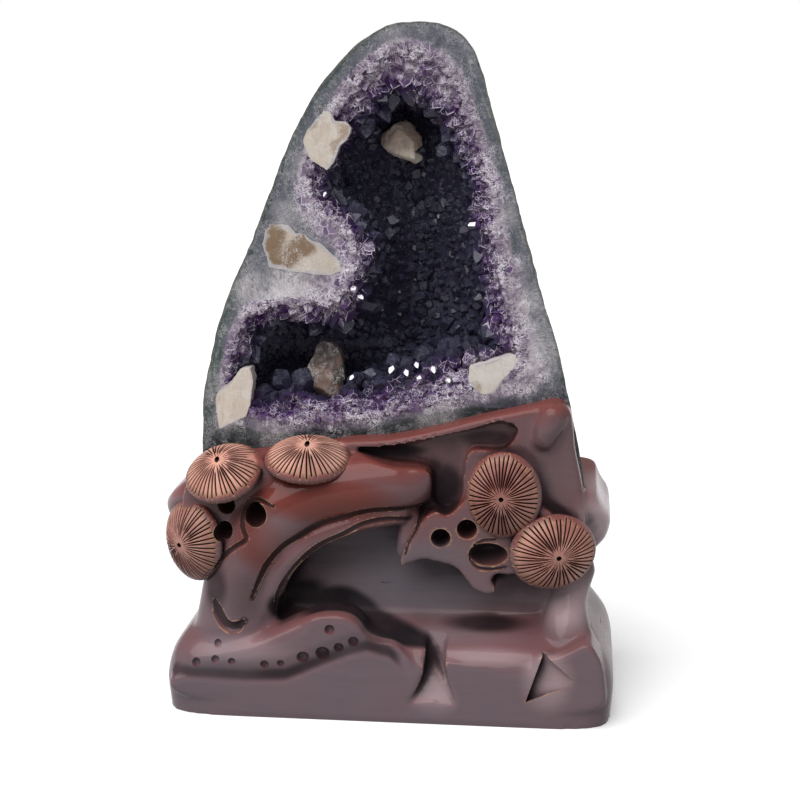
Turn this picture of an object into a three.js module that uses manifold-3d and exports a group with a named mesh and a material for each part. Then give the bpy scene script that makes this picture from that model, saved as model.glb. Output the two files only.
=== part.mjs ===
// Amethyst geode on a carved wooden stand, in millimetres, +Z up, front facing -Y.
// The origin is on the surface that the stand rests on, under the middle of the object.
// The geode is a shell of basalt and banded agate, sawn flat in front, lined with one crust of
// amethyst crystals and with six calcite crystals grown in it. It stands in the pocket of a stand
// that is carved from one block: a gnarled pine trunk over a rock plinth, with round tufts of needles.
import * as THREE from "three";
import { ConvexGeometry } from "three/addons/geometries/ConvexGeometry.js";
import { mergeVertices } from "three/addons/utils/BufferGeometryUtils.js";
import Module from "manifold-3d";

const wasm = await Module();
wasm.setup();

// Driving dimensions
const GEODE = {
  faceY: -22, // the sawn face
  depth: 88, // from the face to the furthest point of the back
  round: 2.1, // 2 gives a round back, more a squarer one
  bottomZ: 108, // the sawn base, on the pocket's floor
  foot: [-2, 190], // the ends, as x and z, of the line that the back closes on
  head: [12, 320],
  around: 48, // points on the outline
  steps: [0, 0.1, 0.26, 0.46, 0.68, 0.88], // shares of the way from the outline to that line
  lumps: 1.6, // how far the rough back swells and sinks, square to the outline
  lumpsBack: 0.64, // and along y
};
const CAVITY = {
  depth: 62,
  flare: 0.85, // under 1 the wall drops faster next to the rim
  around: 42, // points on the rim
  steps: [0.035, 0.13, 0.25, 0.4, 0.6, 0.84], // shares of the way from the rim to the spine
  ahead: 5, // how far in front of the face the cut starts
};
const CRUST = {
  gap: 0.8, // between the crust and the wall
  thickness: 4.5,
  steepness: 1.7, // a tip's height against the radius of its triangle
  uneven: 0.3, // how much the tips' heights differ
  behindFace: 1, // how far the tips stay behind the sawn face
};
const CLEARANCE = 0.4; // between the geode and the stand, and round each calcite
const STAND = {
  corners: 24,
  squareness: 2 / 9, // 1 gives oval level sections, less gives squarer ones
  wallFront: -40,
  channelFloor: -32,
  gullyFloor: -58,
};
const TUFT = {
  radius: 25,
  dome: 11,
  rim: 4,
  grooves: 18,
  groove: 1.8, // the grooves' depth
  hole: 1.6, // the radius of the drilled middle
  holeDepth: 8,
};
const BEYOND = 80; // where cuts from the front start, ahead of everything, as -y
const BIG = 400; // wider than the whole object

const FINISH = {
  wood: { color: 0x5a2a1f, roughness: 0.38, metalness: 0 },
  rind: { color: 0x59646b, roughness: 0.6, metalness: 0 },
  amethyst: { color: 0x3b2460, roughness: 0.12, metalness: 0 },
  calcite: { color: 0xc9bba6, roughness: 0.45, metalness: 0 },
};

// Outlines of the geode in the plane of the sawn face, as x and z, anticlockwise from the top
const RIND_OUTLINE = [
  [15, 398.5], [2, 396.5], [-12, 389.5], [-26, 377], [-40, 360], [-51, 342], [-60, 323], [-68, 303],
  [-75, 285], [-82, 268], [-92, 246], [-100, 224], [-106, 201], [-110, 178], [-111, 150], [-109, 120],
  [-104, 98], [-84, 84], [0, 78], [88, 84], [110, 98], [116, 122], [113, 150], [107, 180], [101, 206],
  [94, 229], [87, 253], [79, 280], [72, 305], [65, 330], [59, 350], [54, 369], [48, 384], [40, 392.5],
  [29, 397.5],
];
// The cavity's rim. The third number is the place along SPINE that a point of the rim closes on.
const CAVITY_RIM = [
  [5, 385, 0], [-12, 375, 0.02], [-26, 358, 0.07], [-38, 338, 0.13], [-46, 320, 0.19], [-48, 304, 0.25],
  [-40, 291, 0.3], [-27, 281, 0.35], [-20, 268, 0.4], [-22, 254, 0.47], [-31, 244, 0.57],
  [-47, 240, 0.7], [-66, 239, 0.82], [-84, 231, 0.93], [-93, 212, 1], [-96, 192, 1], [-90, 174, 1],
  [-70, 168, 0.95], [-42, 168, 0.86], [-12, 171, 0.75], [16, 177, 0.66], [44, 187, 0.61],
  [70, 196, 0.57], [80, 208, 0.54], [76, 226, 0.5], [69, 249, 0.43], [64, 275, 0.33], [62, 298, 0.23],
  [57, 322, 0.13], [49, 347, 0.05], [39, 368, 0.01], [23, 381, 0],
];
const SPINE = [[8, 350], [10, 300], [16, 235], [8, 212], [-20, 205], [-62, 204]];

// A closed curve through the given points, as n points at equal steps of its length
function smoothLoop(points, n) {
  const curve = new THREE.CatmullRomCurve3(
    points.map((p) => new THREE.Vector3(p[0], p[1], p[2] ?? 0)),
    true,
    "centripetal",
  );
  return curve.getSpacedPoints(n).slice(0, n);
}

// A repeatable number from -1 to 1 for any three numbers
function jitter(a, b, c) {
  const s = Math.sin(a * 127.1 + b * 311.7 + c * 74.7) * 43758.5453;
  return 2 * (s - Math.floor(s)) - 1;
}

// Slow bumps for rough stone, about 1 high
function bumps(x, y, z) {
  return (
    0.5 * Math.sin(x * 0.19 + z * 0.07 + 1.3) * Math.cos(z * 0.17 - y * 0.11) +
    0.5 * Math.sin(x * 0.41 - z * 0.33 + y * 0.27)
  );
}

// The solid inside a closed surface
function solidOf(geometry) {
  const bare = geometry.index ? geometry.toNonIndexed() : geometry.clone();
  for (const name of Object.keys(bare.attributes)) if (name !== "position") bare.deleteAttribute(name);
  const merged = mergeVertices(bare, 1e-3);
  return new wasm.Manifold(
    new wasm.Mesh({
      numProp: 3,
      vertProperties: merged.attributes.position.array,
      triVerts: new Uint32Array(merged.index.array),
    }),
  );
}

// The surface of a solid
function geometryOf(solid) {
  const mesh = solid.getMesh();
  const positions = new Float32Array(mesh.numVert * 3);
  for (let i = 0; i < mesh.numVert; i++)
    positions.set(mesh.vertProperties.subarray(i * mesh.numProp, i * mesh.numProp + 3), i * 3);
  return new THREE.BufferGeometry()
    .setAttribute("position", new THREE.BufferAttribute(positions, 3))
    .setIndex(new THREE.BufferAttribute(new Uint32Array(mesh.triVerts), 1));
}

// The largest body of a solid, without the chips that a cut can leave
function largest(solid) {
  return solid.decompose().reduce((a, b) => (b.volume() > a.volume() ? b : a));
}

// Several solids as one
function joined(solids) {
  return solids.reduce((a, b) => a.add(b));
}

// A named mesh in one of the finishes
function meshOf(name, geometry, finish) {
  const mesh = new THREE.Mesh(geometry, new THREE.MeshStandardMaterial(FINISH[finish]));
  mesh.name = name;
  return mesh;
}

// Triangles as flat lists of points, with helpers for rings that run anticlockwise seen from the front
class Skin {
  constructor() {
    this.corners = [];
  }
  face(a, b, c) {
    this.corners.push(a.x, a.y, a.z, b.x, b.y, b.z, c.x, c.y, c.z);
  }
  // The band between two rings. Seen from inside the rings its faces look at the viewer, unless outward.
  band(front, back, outward) {
    const n = front.length;
    for (let k = 0; k < n; k++) {
      const [a, b, c, d] = [front[k], front[(k + 1) % n], back[(k + 1) % n], back[k]];
      if (outward) {
        this.face(a, d, c);
        this.face(a, c, b);
      } else {
        this.face(a, b, c);
        this.face(a, c, d);
      }
    }
  }
  // A ring, filled and looking to the front or the back
  fill(ring, toFront) {
    const flat = ring.map((p) => new THREE.Vector2(p.x, p.z));
    for (const t of THREE.ShapeUtils.triangulateShape(flat, [])) {
      const [a, b, c] = t.map((i) => ring[i]);
      const turn = (b.x - a.x) * (c.z - a.z) - (b.z - a.z) * (c.x - a.x);
      if (turn > 0 === toFront) this.face(a, b, c);
      else this.face(a, c, b);
    }
  }
  // A level ring, closed with a fan about its middle and looking up or down
  lid(ring, up) {
    const middle = ring.reduce((sum, p) => sum.add(p), new THREE.Vector3()).divideScalar(ring.length);
    ring.forEach((p, k) => {
      const q = ring[(k + 1) % ring.length];
      if (up) this.face(middle, p, q);
      else this.face(middle, q, p);
    });
  }
  geometry() {
    return new THREE.BufferGeometry().setAttribute(
      "position",
      new THREE.BufferAttribute(new Float32Array(this.corners), 3),
    );
  }
}

// The spine's stations, evenly spaced along it. The cavity's wall closes on them.
const spineCurve = new THREE.CatmullRomCurve3(
  SPINE.map(([x, z]) => new THREE.Vector3(x, z, 0)),
  false,
  "centripetal",
);
const STATIONS = spineCurve.getSpacedPoints(8).map((p) => new THREE.Vector2(p.x, p.y));

// The cavity's rim at equal steps, each point with its place from 0 to 1 along the spine
const rim = smoothLoop(CAVITY_RIM, CAVITY.around).map((p) => ({
  x: p.x,
  z: p.y,
  along: THREE.MathUtils.clamp(p.z, 0, 1),
}));

// Ring of the cavity's wall, at a share s of the way from the rim to the spine
function cavityRing(s) {
  const y = GEODE.faceY + CAVITY.depth * Math.sin((Math.PI / 2) * Math.pow(s, CAVITY.flare));
  return rim.map((p) => {
    const q = spineCurve.getPointAt(p.along);
    return new THREE.Vector3(p.x + (q.x - p.x) * s, y, p.z + (q.y - p.z) * s);
  });
}

// The end of the wall: from the last ring to the spine's stations, as triangles
function spineFaces(ring, lift) {
  const y = GEODE.faceY + CAVITY.depth - lift;
  const station = (i) => new THREE.Vector3(STATIONS[i].x, y, STATIONS[i].y);
  const nearest = rim.map((p) => Math.round(p.along * (STATIONS.length - 1)));
  const faces = [];
  ring.forEach((p, k) => {
    const next = (k + 1) % ring.length;
    faces.push([p, ring[next], station(nearest[k])]);
    const step = Math.sign(nearest[next] - nearest[k]);
    for (let i = nearest[k]; i !== nearest[next]; i += step)
      faces.push([ring[next], station(i + step), station(i)]);
  });
  return faces;
}

// Rings moved off the wall, into the cavity, along the wall's own normal
function liftedRings(rings, lift) {
  return rings.map((ring, j) =>
    ring.map((p, k) => {
      const n = ring.length;
      const along = new THREE.Vector3().subVectors(ring[(k + 1) % n], ring[(k + n - 1) % n]);
      const front = rings[Math.max(0, j - 1)][k];
      const back = rings[Math.min(rings.length - 1, j + 1)][k];
      const inward = new THREE.Vector3().subVectors(back, front);
      const normal = new THREE.Vector3().crossVectors(along, inward).normalize();
      return p.clone().addScaledVector(normal, lift);
    }),
  );
}

// A ring of the geode's outside, at a share s of the way from the outline to the line that it closes on
function outsideRing(outline, s, grow) {
  const foot = new THREE.Vector2(...GEODE.foot);
  const axis = new THREE.Vector2(...GEODE.head).sub(foot);
  const rise = Math.pow(1 - Math.pow(1 - s, GEODE.round), 1 / GEODE.round);
  const y = GEODE.faceY + (GEODE.depth + grow) * rise;
  return outline.map((p) => {
    const way = new THREE.Vector2(p.x, p.y).sub(foot);
    const along = THREE.MathUtils.clamp(way.dot(axis) / axis.lengthSq(), 0, 1);
    const core = foot.clone().addScaledVector(axis, along);
    way.set(p.x, p.y).sub(core);
    const length = way.length();
    const flat = core.addScaledVector(way, (1 - s) * (1 + grow / length));
    const rough = s > 0 ? bumps(flat.x, y, flat.y) : 0;
    flat.addScaledVector(way, (rough * GEODE.lumps) / length);
    return new THREE.Vector3(flat.x, y + rough * GEODE.lumpsBack, flat.y);
  });
}

// The outside of the geode: a dome behind the sawn face, cut level at the bottom
function geodeOutside(grow) {
  const outline = smoothLoop(RIND_OUTLINE, GEODE.around);
  const rings = GEODE.steps.map((s) => outsideRing(outline, s, grow));
  const skin = new Skin();
  if (grow) rings.unshift(rings[0].map((p) => new THREE.Vector3(p.x, GEODE.faceY - grow, p.z)));
  skin.fill(rings[0], true);
  rings.slice(1).forEach((ring, j) => skin.band(rings[j], ring, true));
  skin.fill(rings[rings.length - 1], false);
  const dome = solidOf(skin.geometry());
  const below = new THREE.BoxGeometry(BIG, BIG, BIG);
  below.translate(0, 0, GEODE.bottomZ - grow - BIG / 2);
  return dome.subtract(solidOf(below));
}

// The hollow, which starts a little in front of the face
function geodeCavity() {
  const rings = [0, ...CAVITY.steps].map(cavityRing);
  const proud = rings[0].map((p) => new THREE.Vector3(p.x, GEODE.faceY - CAVITY.ahead, p.z));
  const skin = new Skin();
  skin.fill(proud, true);
  skin.band(proud, rings[0], true);
  rings.slice(1).forEach((ring, j) => skin.band(rings[j], ring, true));
  for (const [a, b, c] of spineFaces(rings[rings.length - 1], 0)) skin.face(a, c, b);
  return solidOf(skin.geometry());
}

// The lining of crystals: a thin layer whose every triangle carries a three-sided crystal tip
function amethystCrust() {
  const wall = CAVITY.steps.map(cavityRing);
  const back = liftedRings(wall, CRUST.gap);
  const front = liftedRings(wall, CRUST.thickness);
  const layer = new Skin();
  front.slice(1).forEach((ring, j) => layer.band(front[j], ring, false));
  for (const [a, b, c] of spineFaces(front[front.length - 1], CRUST.thickness)) layer.face(a, b, c);
  const skin = new Skin();
  for (let i = 0; i < layer.corners.length; i += 9) {
    const [a, b, c] = [0, 3, 6].map((k) => new THREE.Vector3(...layer.corners.slice(i + k, i + k + 3)));
    const base = new THREE.Triangle(a, b, c);
    const inradius = (2 * base.getArea()) / (a.distanceTo(b) + b.distanceTo(c) + c.distanceTo(a));
    const middle = base.getMidpoint(new THREE.Vector3());
    const uneven = 1 + CRUST.uneven * jitter(middle.x, middle.y, middle.z);
    const height = inradius * CRUST.steepness * uneven;
    const tip = middle.addScaledVector(base.getNormal(new THREE.Vector3()), height);
    tip.y = Math.max(tip.y, GEODE.faceY + CRUST.behindFace);
    skin.face(a, b, tip);
    skin.face(b, c, tip);
    skin.face(c, a, tip);
  }
  back.slice(1).forEach((ring, j) => skin.band(back[j], ring, true));
  for (const [a, b, c] of spineFaces(back[back.length - 1], CRUST.gap)) skin.face(a, c, b);
  skin.band(front[0], back[0], true);
  return solidOf(skin.geometry());
}

// The calcite crystals: middle, width, depth and height, and the turn in the plane of the face in degrees
const CALCITES = {
  calcite_upper_left: { at: [-37, -13, 331], size: [24, 24, 37], turn: -12, seed: 3 },
  calcite_back_wall: { at: [4, 24, 329], size: [27, 22, 25], turn: 20, seed: 8 },
  calcite_left_shoulder: { at: [-51, -19, 268], size: [50, 22, 33], turn: -20, seed: 5, sawn: true },
  calcite_lower_left: { at: [-92, -10, 182], size: [24, 28, 35], turn: -14, seed: 11 },
  calcite_floor: { at: [-39, 4, 193], size: [25, 24, 38], turn: 4, seed: 2 },
  calcite_lower_right: { at: [62, -13, 199], size: [34, 20, 17], turn: 30, seed: 14 },
};
const BLOCK = {
  sides: 6,
  levels: [-0.85, 0, 0.85], // heights of its corners, each level turned half a side against the last
  taper: 0.75, // how much narrower the top and bottom levels are
  uneven: 0.3, // how far the corners are turned off even steps, in radians
  bulge: 0.12, // how far they stand in and out
  heightPerUnit: 1 / 1.7, // of the stated height for each unit of level
};

// A calcite crystal: a block of flat faces about its middle
function calcite({ at, size, turn, seed, sawn }, grow) {
  const points = [];
  BLOCK.levels.forEach((level, ring) => {
    for (let k = 0; k < BLOCK.sides; k++) {
      const angle = ((k + 0.5 * ring) / BLOCK.sides) * 2 * Math.PI + BLOCK.uneven * jitter(seed, ring, k);
      const bulge = 1 + BLOCK.bulge * jitter(seed + 1, k, ring);
      const reach = Math.sqrt(1 - BLOCK.taper * level * level) * bulge;
      points.push(new THREE.Vector3(reach * Math.cos(angle), reach * Math.sin(angle), level));
    }
  });
  const block = new ConvexGeometry(points);
  block.scale(size[0] / 2 + grow, size[1] / 2 + grow, size[2] * BLOCK.heightPerUnit + grow);
  block.rotateY(THREE.MathUtils.degToRad(-turn));
  block.translate(...at);
  const solid = solidOf(block);
  if (!sawn) return solid;
  const ahead = new THREE.BoxGeometry(BIG, BIG, BIG);
  ahead.translate(at[0], GEODE.faceY - BIG / 2 - grow, at[2]);
  return solid.subtract(solidOf(ahead));
}

// The stand's block as level sections: height, left, right, front and back
const STAND_SECTIONS = [
  [0, -128, 134.5, -70, 70],
  [22, -129.5, 136, -70, 70],
  [34, -126, 132.5, -68, 69.5],
  [44, -118, 125, -58, 68],
  [56, -111, 116, -42, 65],
  [68, -108, 113, -31, 63],
  [88, -116, 120, -27, 63],
  [100, -131, 130, -28, 66],
  [112, -136, 132, -31, 68],
  [121, -132, 127, -38, 66],
  [131, -121, 123, -38, 62],
];

// The block: rounded level sections, one above the other
function standBlock() {
  const bend = (v) => Math.sign(v) * Math.pow(Math.abs(v), STAND.squareness);
  const rings = STAND_SECTIONS.map(([z, left, right, front, back]) =>
    Array.from({ length: STAND.corners }, (_, k) => {
      const angle = (2 * Math.PI * (k + 0.5)) / STAND.corners;
      const x = (left + right) / 2 + ((right - left) / 2) * bend(Math.cos(angle));
      const y = (front + back) / 2 + ((back - front) / 2) * bend(Math.sin(angle));
      return new THREE.Vector3(x, y, z);
    }),
  );
  const skin = new Skin();
  skin.lid(rings[0], false);
  rings.slice(1).forEach((ring, j) => skin.band(rings[j], ring, false));
  skin.lid(rings[rings.length - 1], true);
  return solidOf(skin.geometry());
}

// A slab whose outline lies in the x, z plane, with rounded edges. y runs from back to front.
function slab({ outline, back, front, round, points }) {
  const shape = new THREE.Shape(smoothLoop(outline, points).map((p) => new THREE.Vector2(p.x, p.y)));
  const geometry = new THREE.ExtrudeGeometry(shape, {
    depth: back - front - 2 * round,
    bevelThickness: round,
    bevelSize: round,
    bevelOffset: -round,
    bevelSegments: 1,
  });
  geometry.rotateX(Math.PI / 2);
  geometry.translate(0, back - round, 0);
  return solidOf(geometry);
}

// How a limb's blunt ends are drawn: the last ring's radius and its distance, as shares of the limb's radius
const LIMB_END = { radius: 0.55, ahead: 0.6 };

// A round limb along a path of x, y, z and radius, closed with blunt ends
function limb({ path, steps, sides }) {
  const centre = new THREE.CatmullRomCurve3(path.map(([x, y, z]) => new THREE.Vector3(x, y, z)));
  const radii = new THREE.CatmullRomCurve3(path.map((p, i) => new THREE.Vector3(i, p[3], 0)));
  const frames = centre.computeFrenetFrames(steps, false);
  const ringAt = (i, share, shift) => {
    const t = centre.getUtoTmapping(i / steps);
    const thick = radii.getPoint(t).y;
    const middle = centre.getPoint(t).addScaledVector(frames.tangents[i], shift * thick);
    const radius = thick * share;
    return Array.from({ length: sides }, (_, k) => {
      const angle = (2 * Math.PI * k) / sides;
      return middle
        .clone()
        .addScaledVector(frames.normals[i], radius * Math.cos(angle))
        .addScaledVector(frames.binormals[i], radius * Math.sin(angle));
    });
  };
  const rings = [ringAt(0, LIMB_END.radius, -LIMB_END.ahead)];
  for (let i = 0; i <= steps; i++) rings.push(ringAt(i, 1, 0));
  rings.push(ringAt(steps, LIMB_END.radius, LIMB_END.ahead));
  const skin = new Skin();
  rings.slice(1).forEach((ring, j) => skin.band(rings[j], ring, false));
  skin.lid(rings[0], false);
  skin.lid(rings[rings.length - 1], true);
  return solidOf(skin.geometry());
}

// Tufts of pine needles: the middle of the rim, the turn to the right and the tilt up in degrees, and
// how wide and how tall each is against the usual one
const TUFTS = [
  { at: [-93.6, -47, 141.3], turn: -21, tilt: 53, wide: 1.03, tall: 0.93 },
  { at: [-45, -47, 150.4], turn: 6, tilt: 63, wide: 1.03, tall: 0.95 },
  { at: [-113, -47, 99.4], turn: -33, tilt: -1, wide: 0.9, tall: 0.97 },
  { at: [68.3, -54, 136.2], turn: 6, tilt: -5, wide: 0.95, tall: 1.11 },
  { at: [98.5, -52, 100.6], turn: 20, tilt: -4, wide: 1.08, tall: 0.91 },
];
// The dome's profile: share of the radius and share of the dome's height. Grooves start at the second ring.
const TUFT_PROFILE = [[0.26, 0.95], [0.66, 0.62], [1, 0]];
const TUFT_UNDERSIDE = 0.9; // share of the radius at the bottom of the rim

// A domed disc with needles cut as grooves from near the middle to the rim, and a drilled middle
function tuft({ at, turn, tilt, wide, tall }) {
  const corners = 2 * TUFT.grooves;
  const cutAt = (i) => (i > 0 ? TUFT.groove : 0);
  const ring = (share, z, cut) =>
    Array.from({ length: corners }, (_, k) => {
      const angle = (2 * Math.PI * k) / corners;
      const radius = TUFT.radius * share;
      return new THREE.Vector3(radius * Math.cos(angle), radius * Math.sin(angle), z - (k % 2 ? cut : 0));
    });
  const rings = TUFT_PROFILE.map(([share, height], i) => ring(share, TUFT.dome * height, cutAt(i)));
  rings.push(ring(TUFT_UNDERSIDE, -TUFT.rim, 0));
  const skin = new Skin();
  rings.slice(1).forEach((next, j) => skin.band(next, rings[j], false));
  skin.lid(rings[0], true);
  skin.lid(rings[rings.length - 1], false);
  const hole = new THREE.CylinderGeometry(TUFT.hole, TUFT.hole, TUFT.holeDepth, 8);
  hole.rotateX(Math.PI / 2);
  hole.translate(0, 0, TUFT.dome);
  const place = new THREE.Matrix4()
    .makeTranslation(...at)
    .multiply(new THREE.Matrix4().makeRotationZ(THREE.MathUtils.degToRad(turn)))
    .multiply(new THREE.Matrix4().makeRotationX(THREE.MathUtils.degToRad(90 - tilt)))
    .multiply(new THREE.Matrix4().makeScale(wide, tall, 1));
  const dome = skin.geometry();
  dome.applyMatrix4(place);
  hole.applyMatrix4(place);
  return { dome: solidOf(dome), hole: solidOf(hole) };
}

// A hole drilled from the front, from y = front to y = bottom, wider where stretched
function drilled({ x, z, radius, front, bottom, stretch = 1, sides = 10 }) {
  const cylinder = new THREE.CylinderGeometry(radius, radius, bottom - front, sides);
  cylinder.scale(stretch, 1, 1);
  cylinder.translate(x, (front + bottom) / 2, z);
  return solidOf(cylinder);
}

// Outlines carved on the stand's front, as x and z
const WALL_OUTLINE = [
  [-106, 104], [-109, 130], [-100, 146], [-70, 152], [-40, 156], [-22, 160], [3, 162], [26, 167],
  [55, 175], [84, 182], [99, 185.5], [106, 182], [110, 158], [116, 126], [114, 104], [60, 100], [34, 116],
  [0, 124], [-40, 120], [-70, 104],
];
const CHANNEL_OUTLINE = [
  [-19, 156], [3, 158], [26, 163], [50, 169], [68, 174], [77, 170], [70, 158], [50, 156], [46, 140],
  [44, 126], [37, 121], [29, 126], [27, 145], [4, 149],
];
const LEFT_PLATE_OUTLINE = [
  [-116, 90], [-104, 80], [-92, 80], [-88, 90], [-80, 100], [-73, 108], [-62, 116], [-60, 132],
  [-66, 148], [-96, 152], [-116, 134],
];
const CAPE_OUTLINE = [
  [46, 128], [27, 121], [18, 108], [11.5, 97], [11, 89.5], [24, 94], [33.5, 92.5], [43, 89.5], [49, 82.5],
  [55, 76], [64.5, 75], [68, 86], [82, 87], [94, 90], [106, 96], [112, 106], [104, 120], [90, 131],
  [82, 144], [72, 149], [56, 148],
];
const LEFT_ROCK_OUTLINE = [
  [-123, 16], [-122, 27], [-112, 34], [-98, 39], [-80, 44], [-64, 51], [-50, 57], [-33, 62], [-18, 61],
  [-8, 51], [1, 48], [13, 42], [20, 35], [16, 16],
];
const RIGHT_ROCK_OUTLINE = [
  [24, 16], [24, 36], [32, 39], [46, 38], [60, 37], [74, 34.5], [86, 33], [92, 43], [111, 48], [119, 51],
  [127, 42], [130, 28], [129, 16],
];
const GULLY_OUTLINE = [
  [22, 54], [25, 44], [24.5, 30], [20.5, 21], [11.5, 9.5], [30, 14.4], [49.5, 8.5], [44, 19], [40.5, 28],
  [40, 44], [43, 54],
];
const WALL = { outline: WALL_OUTLINE, back: -10, front: STAND.wallFront, round: 3, points: 30 };
const CHANNEL = { outline: CHANNEL_OUTLINE, back: STAND.channelFloor, front: -60, round: 1, points: 18 };
const GULLY = { outline: GULLY_OUTLINE, back: STAND.gullyFloor, front: -BEYOND, round: 2, points: 18 };
// Plates that stand out of the front, each with its back and front in y
const PLATES = [
  { outline: LEFT_PLATE_OUTLINE, back: -30, front: -50, round: 4, points: 20 },
  { outline: CAPE_OUTLINE, back: -26, front: -53, round: 4, points: 32 },
  { outline: LEFT_ROCK_OUTLINE, back: -40, front: -69.5, round: 5, points: 24 },
  { outline: RIGHT_ROCK_OUTLINE, back: -40, front: -69.5, round: 4, points: 22 },
];
const LIMBS = [
  // the trunk, which bends over into the long upper limb
  {
    path: [
      [-90, -40, 28, 27], [-88, -38, 50, 25], [-84, -38, 80, 22], [-70, -38, 108, 22], [-42, -38, 127, 21],
      [-10, -40, 135, 19], [16, -41, 139, 17], [28, -41, 144, 9],
    ],
    steps: 12,
    sides: 11,
  },
  // the lip of the arch under the limb
  {
    path: [
      [-72, -44, 44, 8], [-67, -47, 66, 7], [-58, -48, 86, 6.5], [-40, -49, 103, 6], [-14, -49, 114, 5.5],
      [12, -47, 119, 5],
    ],
    steps: 10,
    sides: 7,
  },
  // the fold that hangs beside the arch
  { path: [[17, -40, 118, 7], [15, -42, 106, 7], [12, -42, 95, 5]], steps: 3, sides: 7 },
  // the root at the right
  {
    path: [[112, -22, 84, 12], [108, -30, 66, 11], [107, -38, 50, 15], [108, -42, 32, 20]],
    steps: 5,
    sides: 9,
  },
  // the drip under the wall's right corner
  { path: [[98, -38, 178, 9], [94, -40, 170, 8], [92, -40, 163, 6]], steps: 3, sides: 7 },
];
const HOLES = [
  { x: -91.6, z: 122.6, radius: 5.7, front: -60, bottom: -34 },
  { x: -92.5, z: 108.2, radius: 5.4, front: -60, bottom: -34 },
  { x: -73.1, z: 119.2, radius: 6.9, front: -66, bottom: -36 },
  { x: 34.1, z: 107.4, radius: 5.8, front: -60, bottom: -34 },
  { x: 49.2, z: 113.2, radius: 6, front: -60, bottom: -34 },
  { x: 61.5, z: 98.6, radius: 7, front: -64, bottom: -34, stretch: 1.65 },
];
// Small pits in the left rock, as x, z and radius
const PITS = [
  [-107.9, 31.8, 2.7], [-95.5, 42.9, 2.4], [-96.3, 34.2, 2.6], [-86.5, 33.5, 2.4], [-67.1, 32.5, 2.7],
  [-57.6, 33.5, 2.3], [-44.4, 37.8, 3.8], [-33, 40.7, 4.2], [-23.5, 44.4, 3], [-15, 48.4, 3.2],
  [-28.6, 55.5, 3],
];
const PIT = { front: -BEYOND, bottom: -66, sides: 6 };

// The stand: block, plates, limbs and tufts as one, with the holes, pits, gully and pocket cut in it
function woodenStand(geode) {
  const tufts = TUFTS.map(tuft);
  const raised = [
    standBlock(),
    slab(WALL).subtract(slab(CHANNEL)),
    ...PLATES.map(slab),
    ...LIMBS.map(limb),
    ...tufts.map((t) => t.dome),
  ];
  const cut = [
    ...tufts.map((t) => t.hole),
    ...HOLES.map(drilled),
    ...PITS.map(([x, z, radius]) => drilled({ x, z, radius, ...PIT })),
    slab(GULLY),
    geode,
  ];
  return cut.reduce((stand, tool) => stand.subtract(tool), joined(raised));
}

const part = new THREE.Group();
const calcites = Object.entries(CALCITES).map(([name, c]) => [name, calcite(c, 0)]);
const pockets = joined(Object.values(CALCITES).map((c) => calcite(c, CLEARANCE)));
const shell = largest(geodeOutside(0).subtract(geodeCavity()).subtract(pockets));
const crust = largest(amethystCrust().subtract(pockets));
const stand = largest(woodenStand(geodeOutside(CLEARANCE)));

part.add(meshOf("wooden_stand", geometryOf(stand), "wood"));
part.add(meshOf("geode_shell", geometryOf(shell), "rind"));
part.add(meshOf("amethyst_crust", geometryOf(crust), "amethyst"));
for (const [name, solid] of calcites) part.add(meshOf(name, geometryOf(solid), "calcite"));

export default part;
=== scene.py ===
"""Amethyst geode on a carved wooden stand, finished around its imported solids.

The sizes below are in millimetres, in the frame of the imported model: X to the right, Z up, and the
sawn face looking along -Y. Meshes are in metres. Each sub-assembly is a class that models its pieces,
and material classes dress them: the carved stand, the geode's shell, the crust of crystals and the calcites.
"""

import logging
import math
import random
from collections.abc import Iterator, Sequence
from contextlib import contextmanager
from dataclasses import dataclass
from enum import Enum
from typing import Any

import bmesh
import bpy
import numpy as np
from mathutils import Matrix, Vector, noise
from mathutils.bvhtree import BVHTree
from mathutils.geometry import delaunay_2d_cdt
from mathutils.kdtree import KDTree


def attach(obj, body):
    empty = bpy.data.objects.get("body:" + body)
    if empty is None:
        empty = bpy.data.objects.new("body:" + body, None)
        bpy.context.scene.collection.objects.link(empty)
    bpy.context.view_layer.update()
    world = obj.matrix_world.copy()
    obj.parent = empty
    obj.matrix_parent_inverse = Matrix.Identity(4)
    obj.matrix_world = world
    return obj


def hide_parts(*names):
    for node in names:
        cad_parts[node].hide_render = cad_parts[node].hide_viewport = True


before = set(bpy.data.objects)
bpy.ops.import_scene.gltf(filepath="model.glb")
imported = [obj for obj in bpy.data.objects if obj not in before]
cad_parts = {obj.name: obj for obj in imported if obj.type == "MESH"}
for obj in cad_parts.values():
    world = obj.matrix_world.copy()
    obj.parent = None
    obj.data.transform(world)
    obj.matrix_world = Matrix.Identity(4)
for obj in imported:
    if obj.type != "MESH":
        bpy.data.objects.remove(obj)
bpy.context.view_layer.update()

MM = 0.001
FLASH = (-0.124, -0.79, 0.60)  # the way a face looks that mirrors the lamp
TIP_LEAN = math.radians(38)  # how far the faces of a crystal's tip lean back
log = logging.getLogger("geode")

Point = tuple[float, float]
Triple = tuple[float, float, float]
Colour = Triple
Disc = tuple[float, float, float, float]
Patch = tuple[Triple, Triple, float]
Points = Sequence[Point]
Piece = bpy.types.Object
Array = np.ndarray


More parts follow.
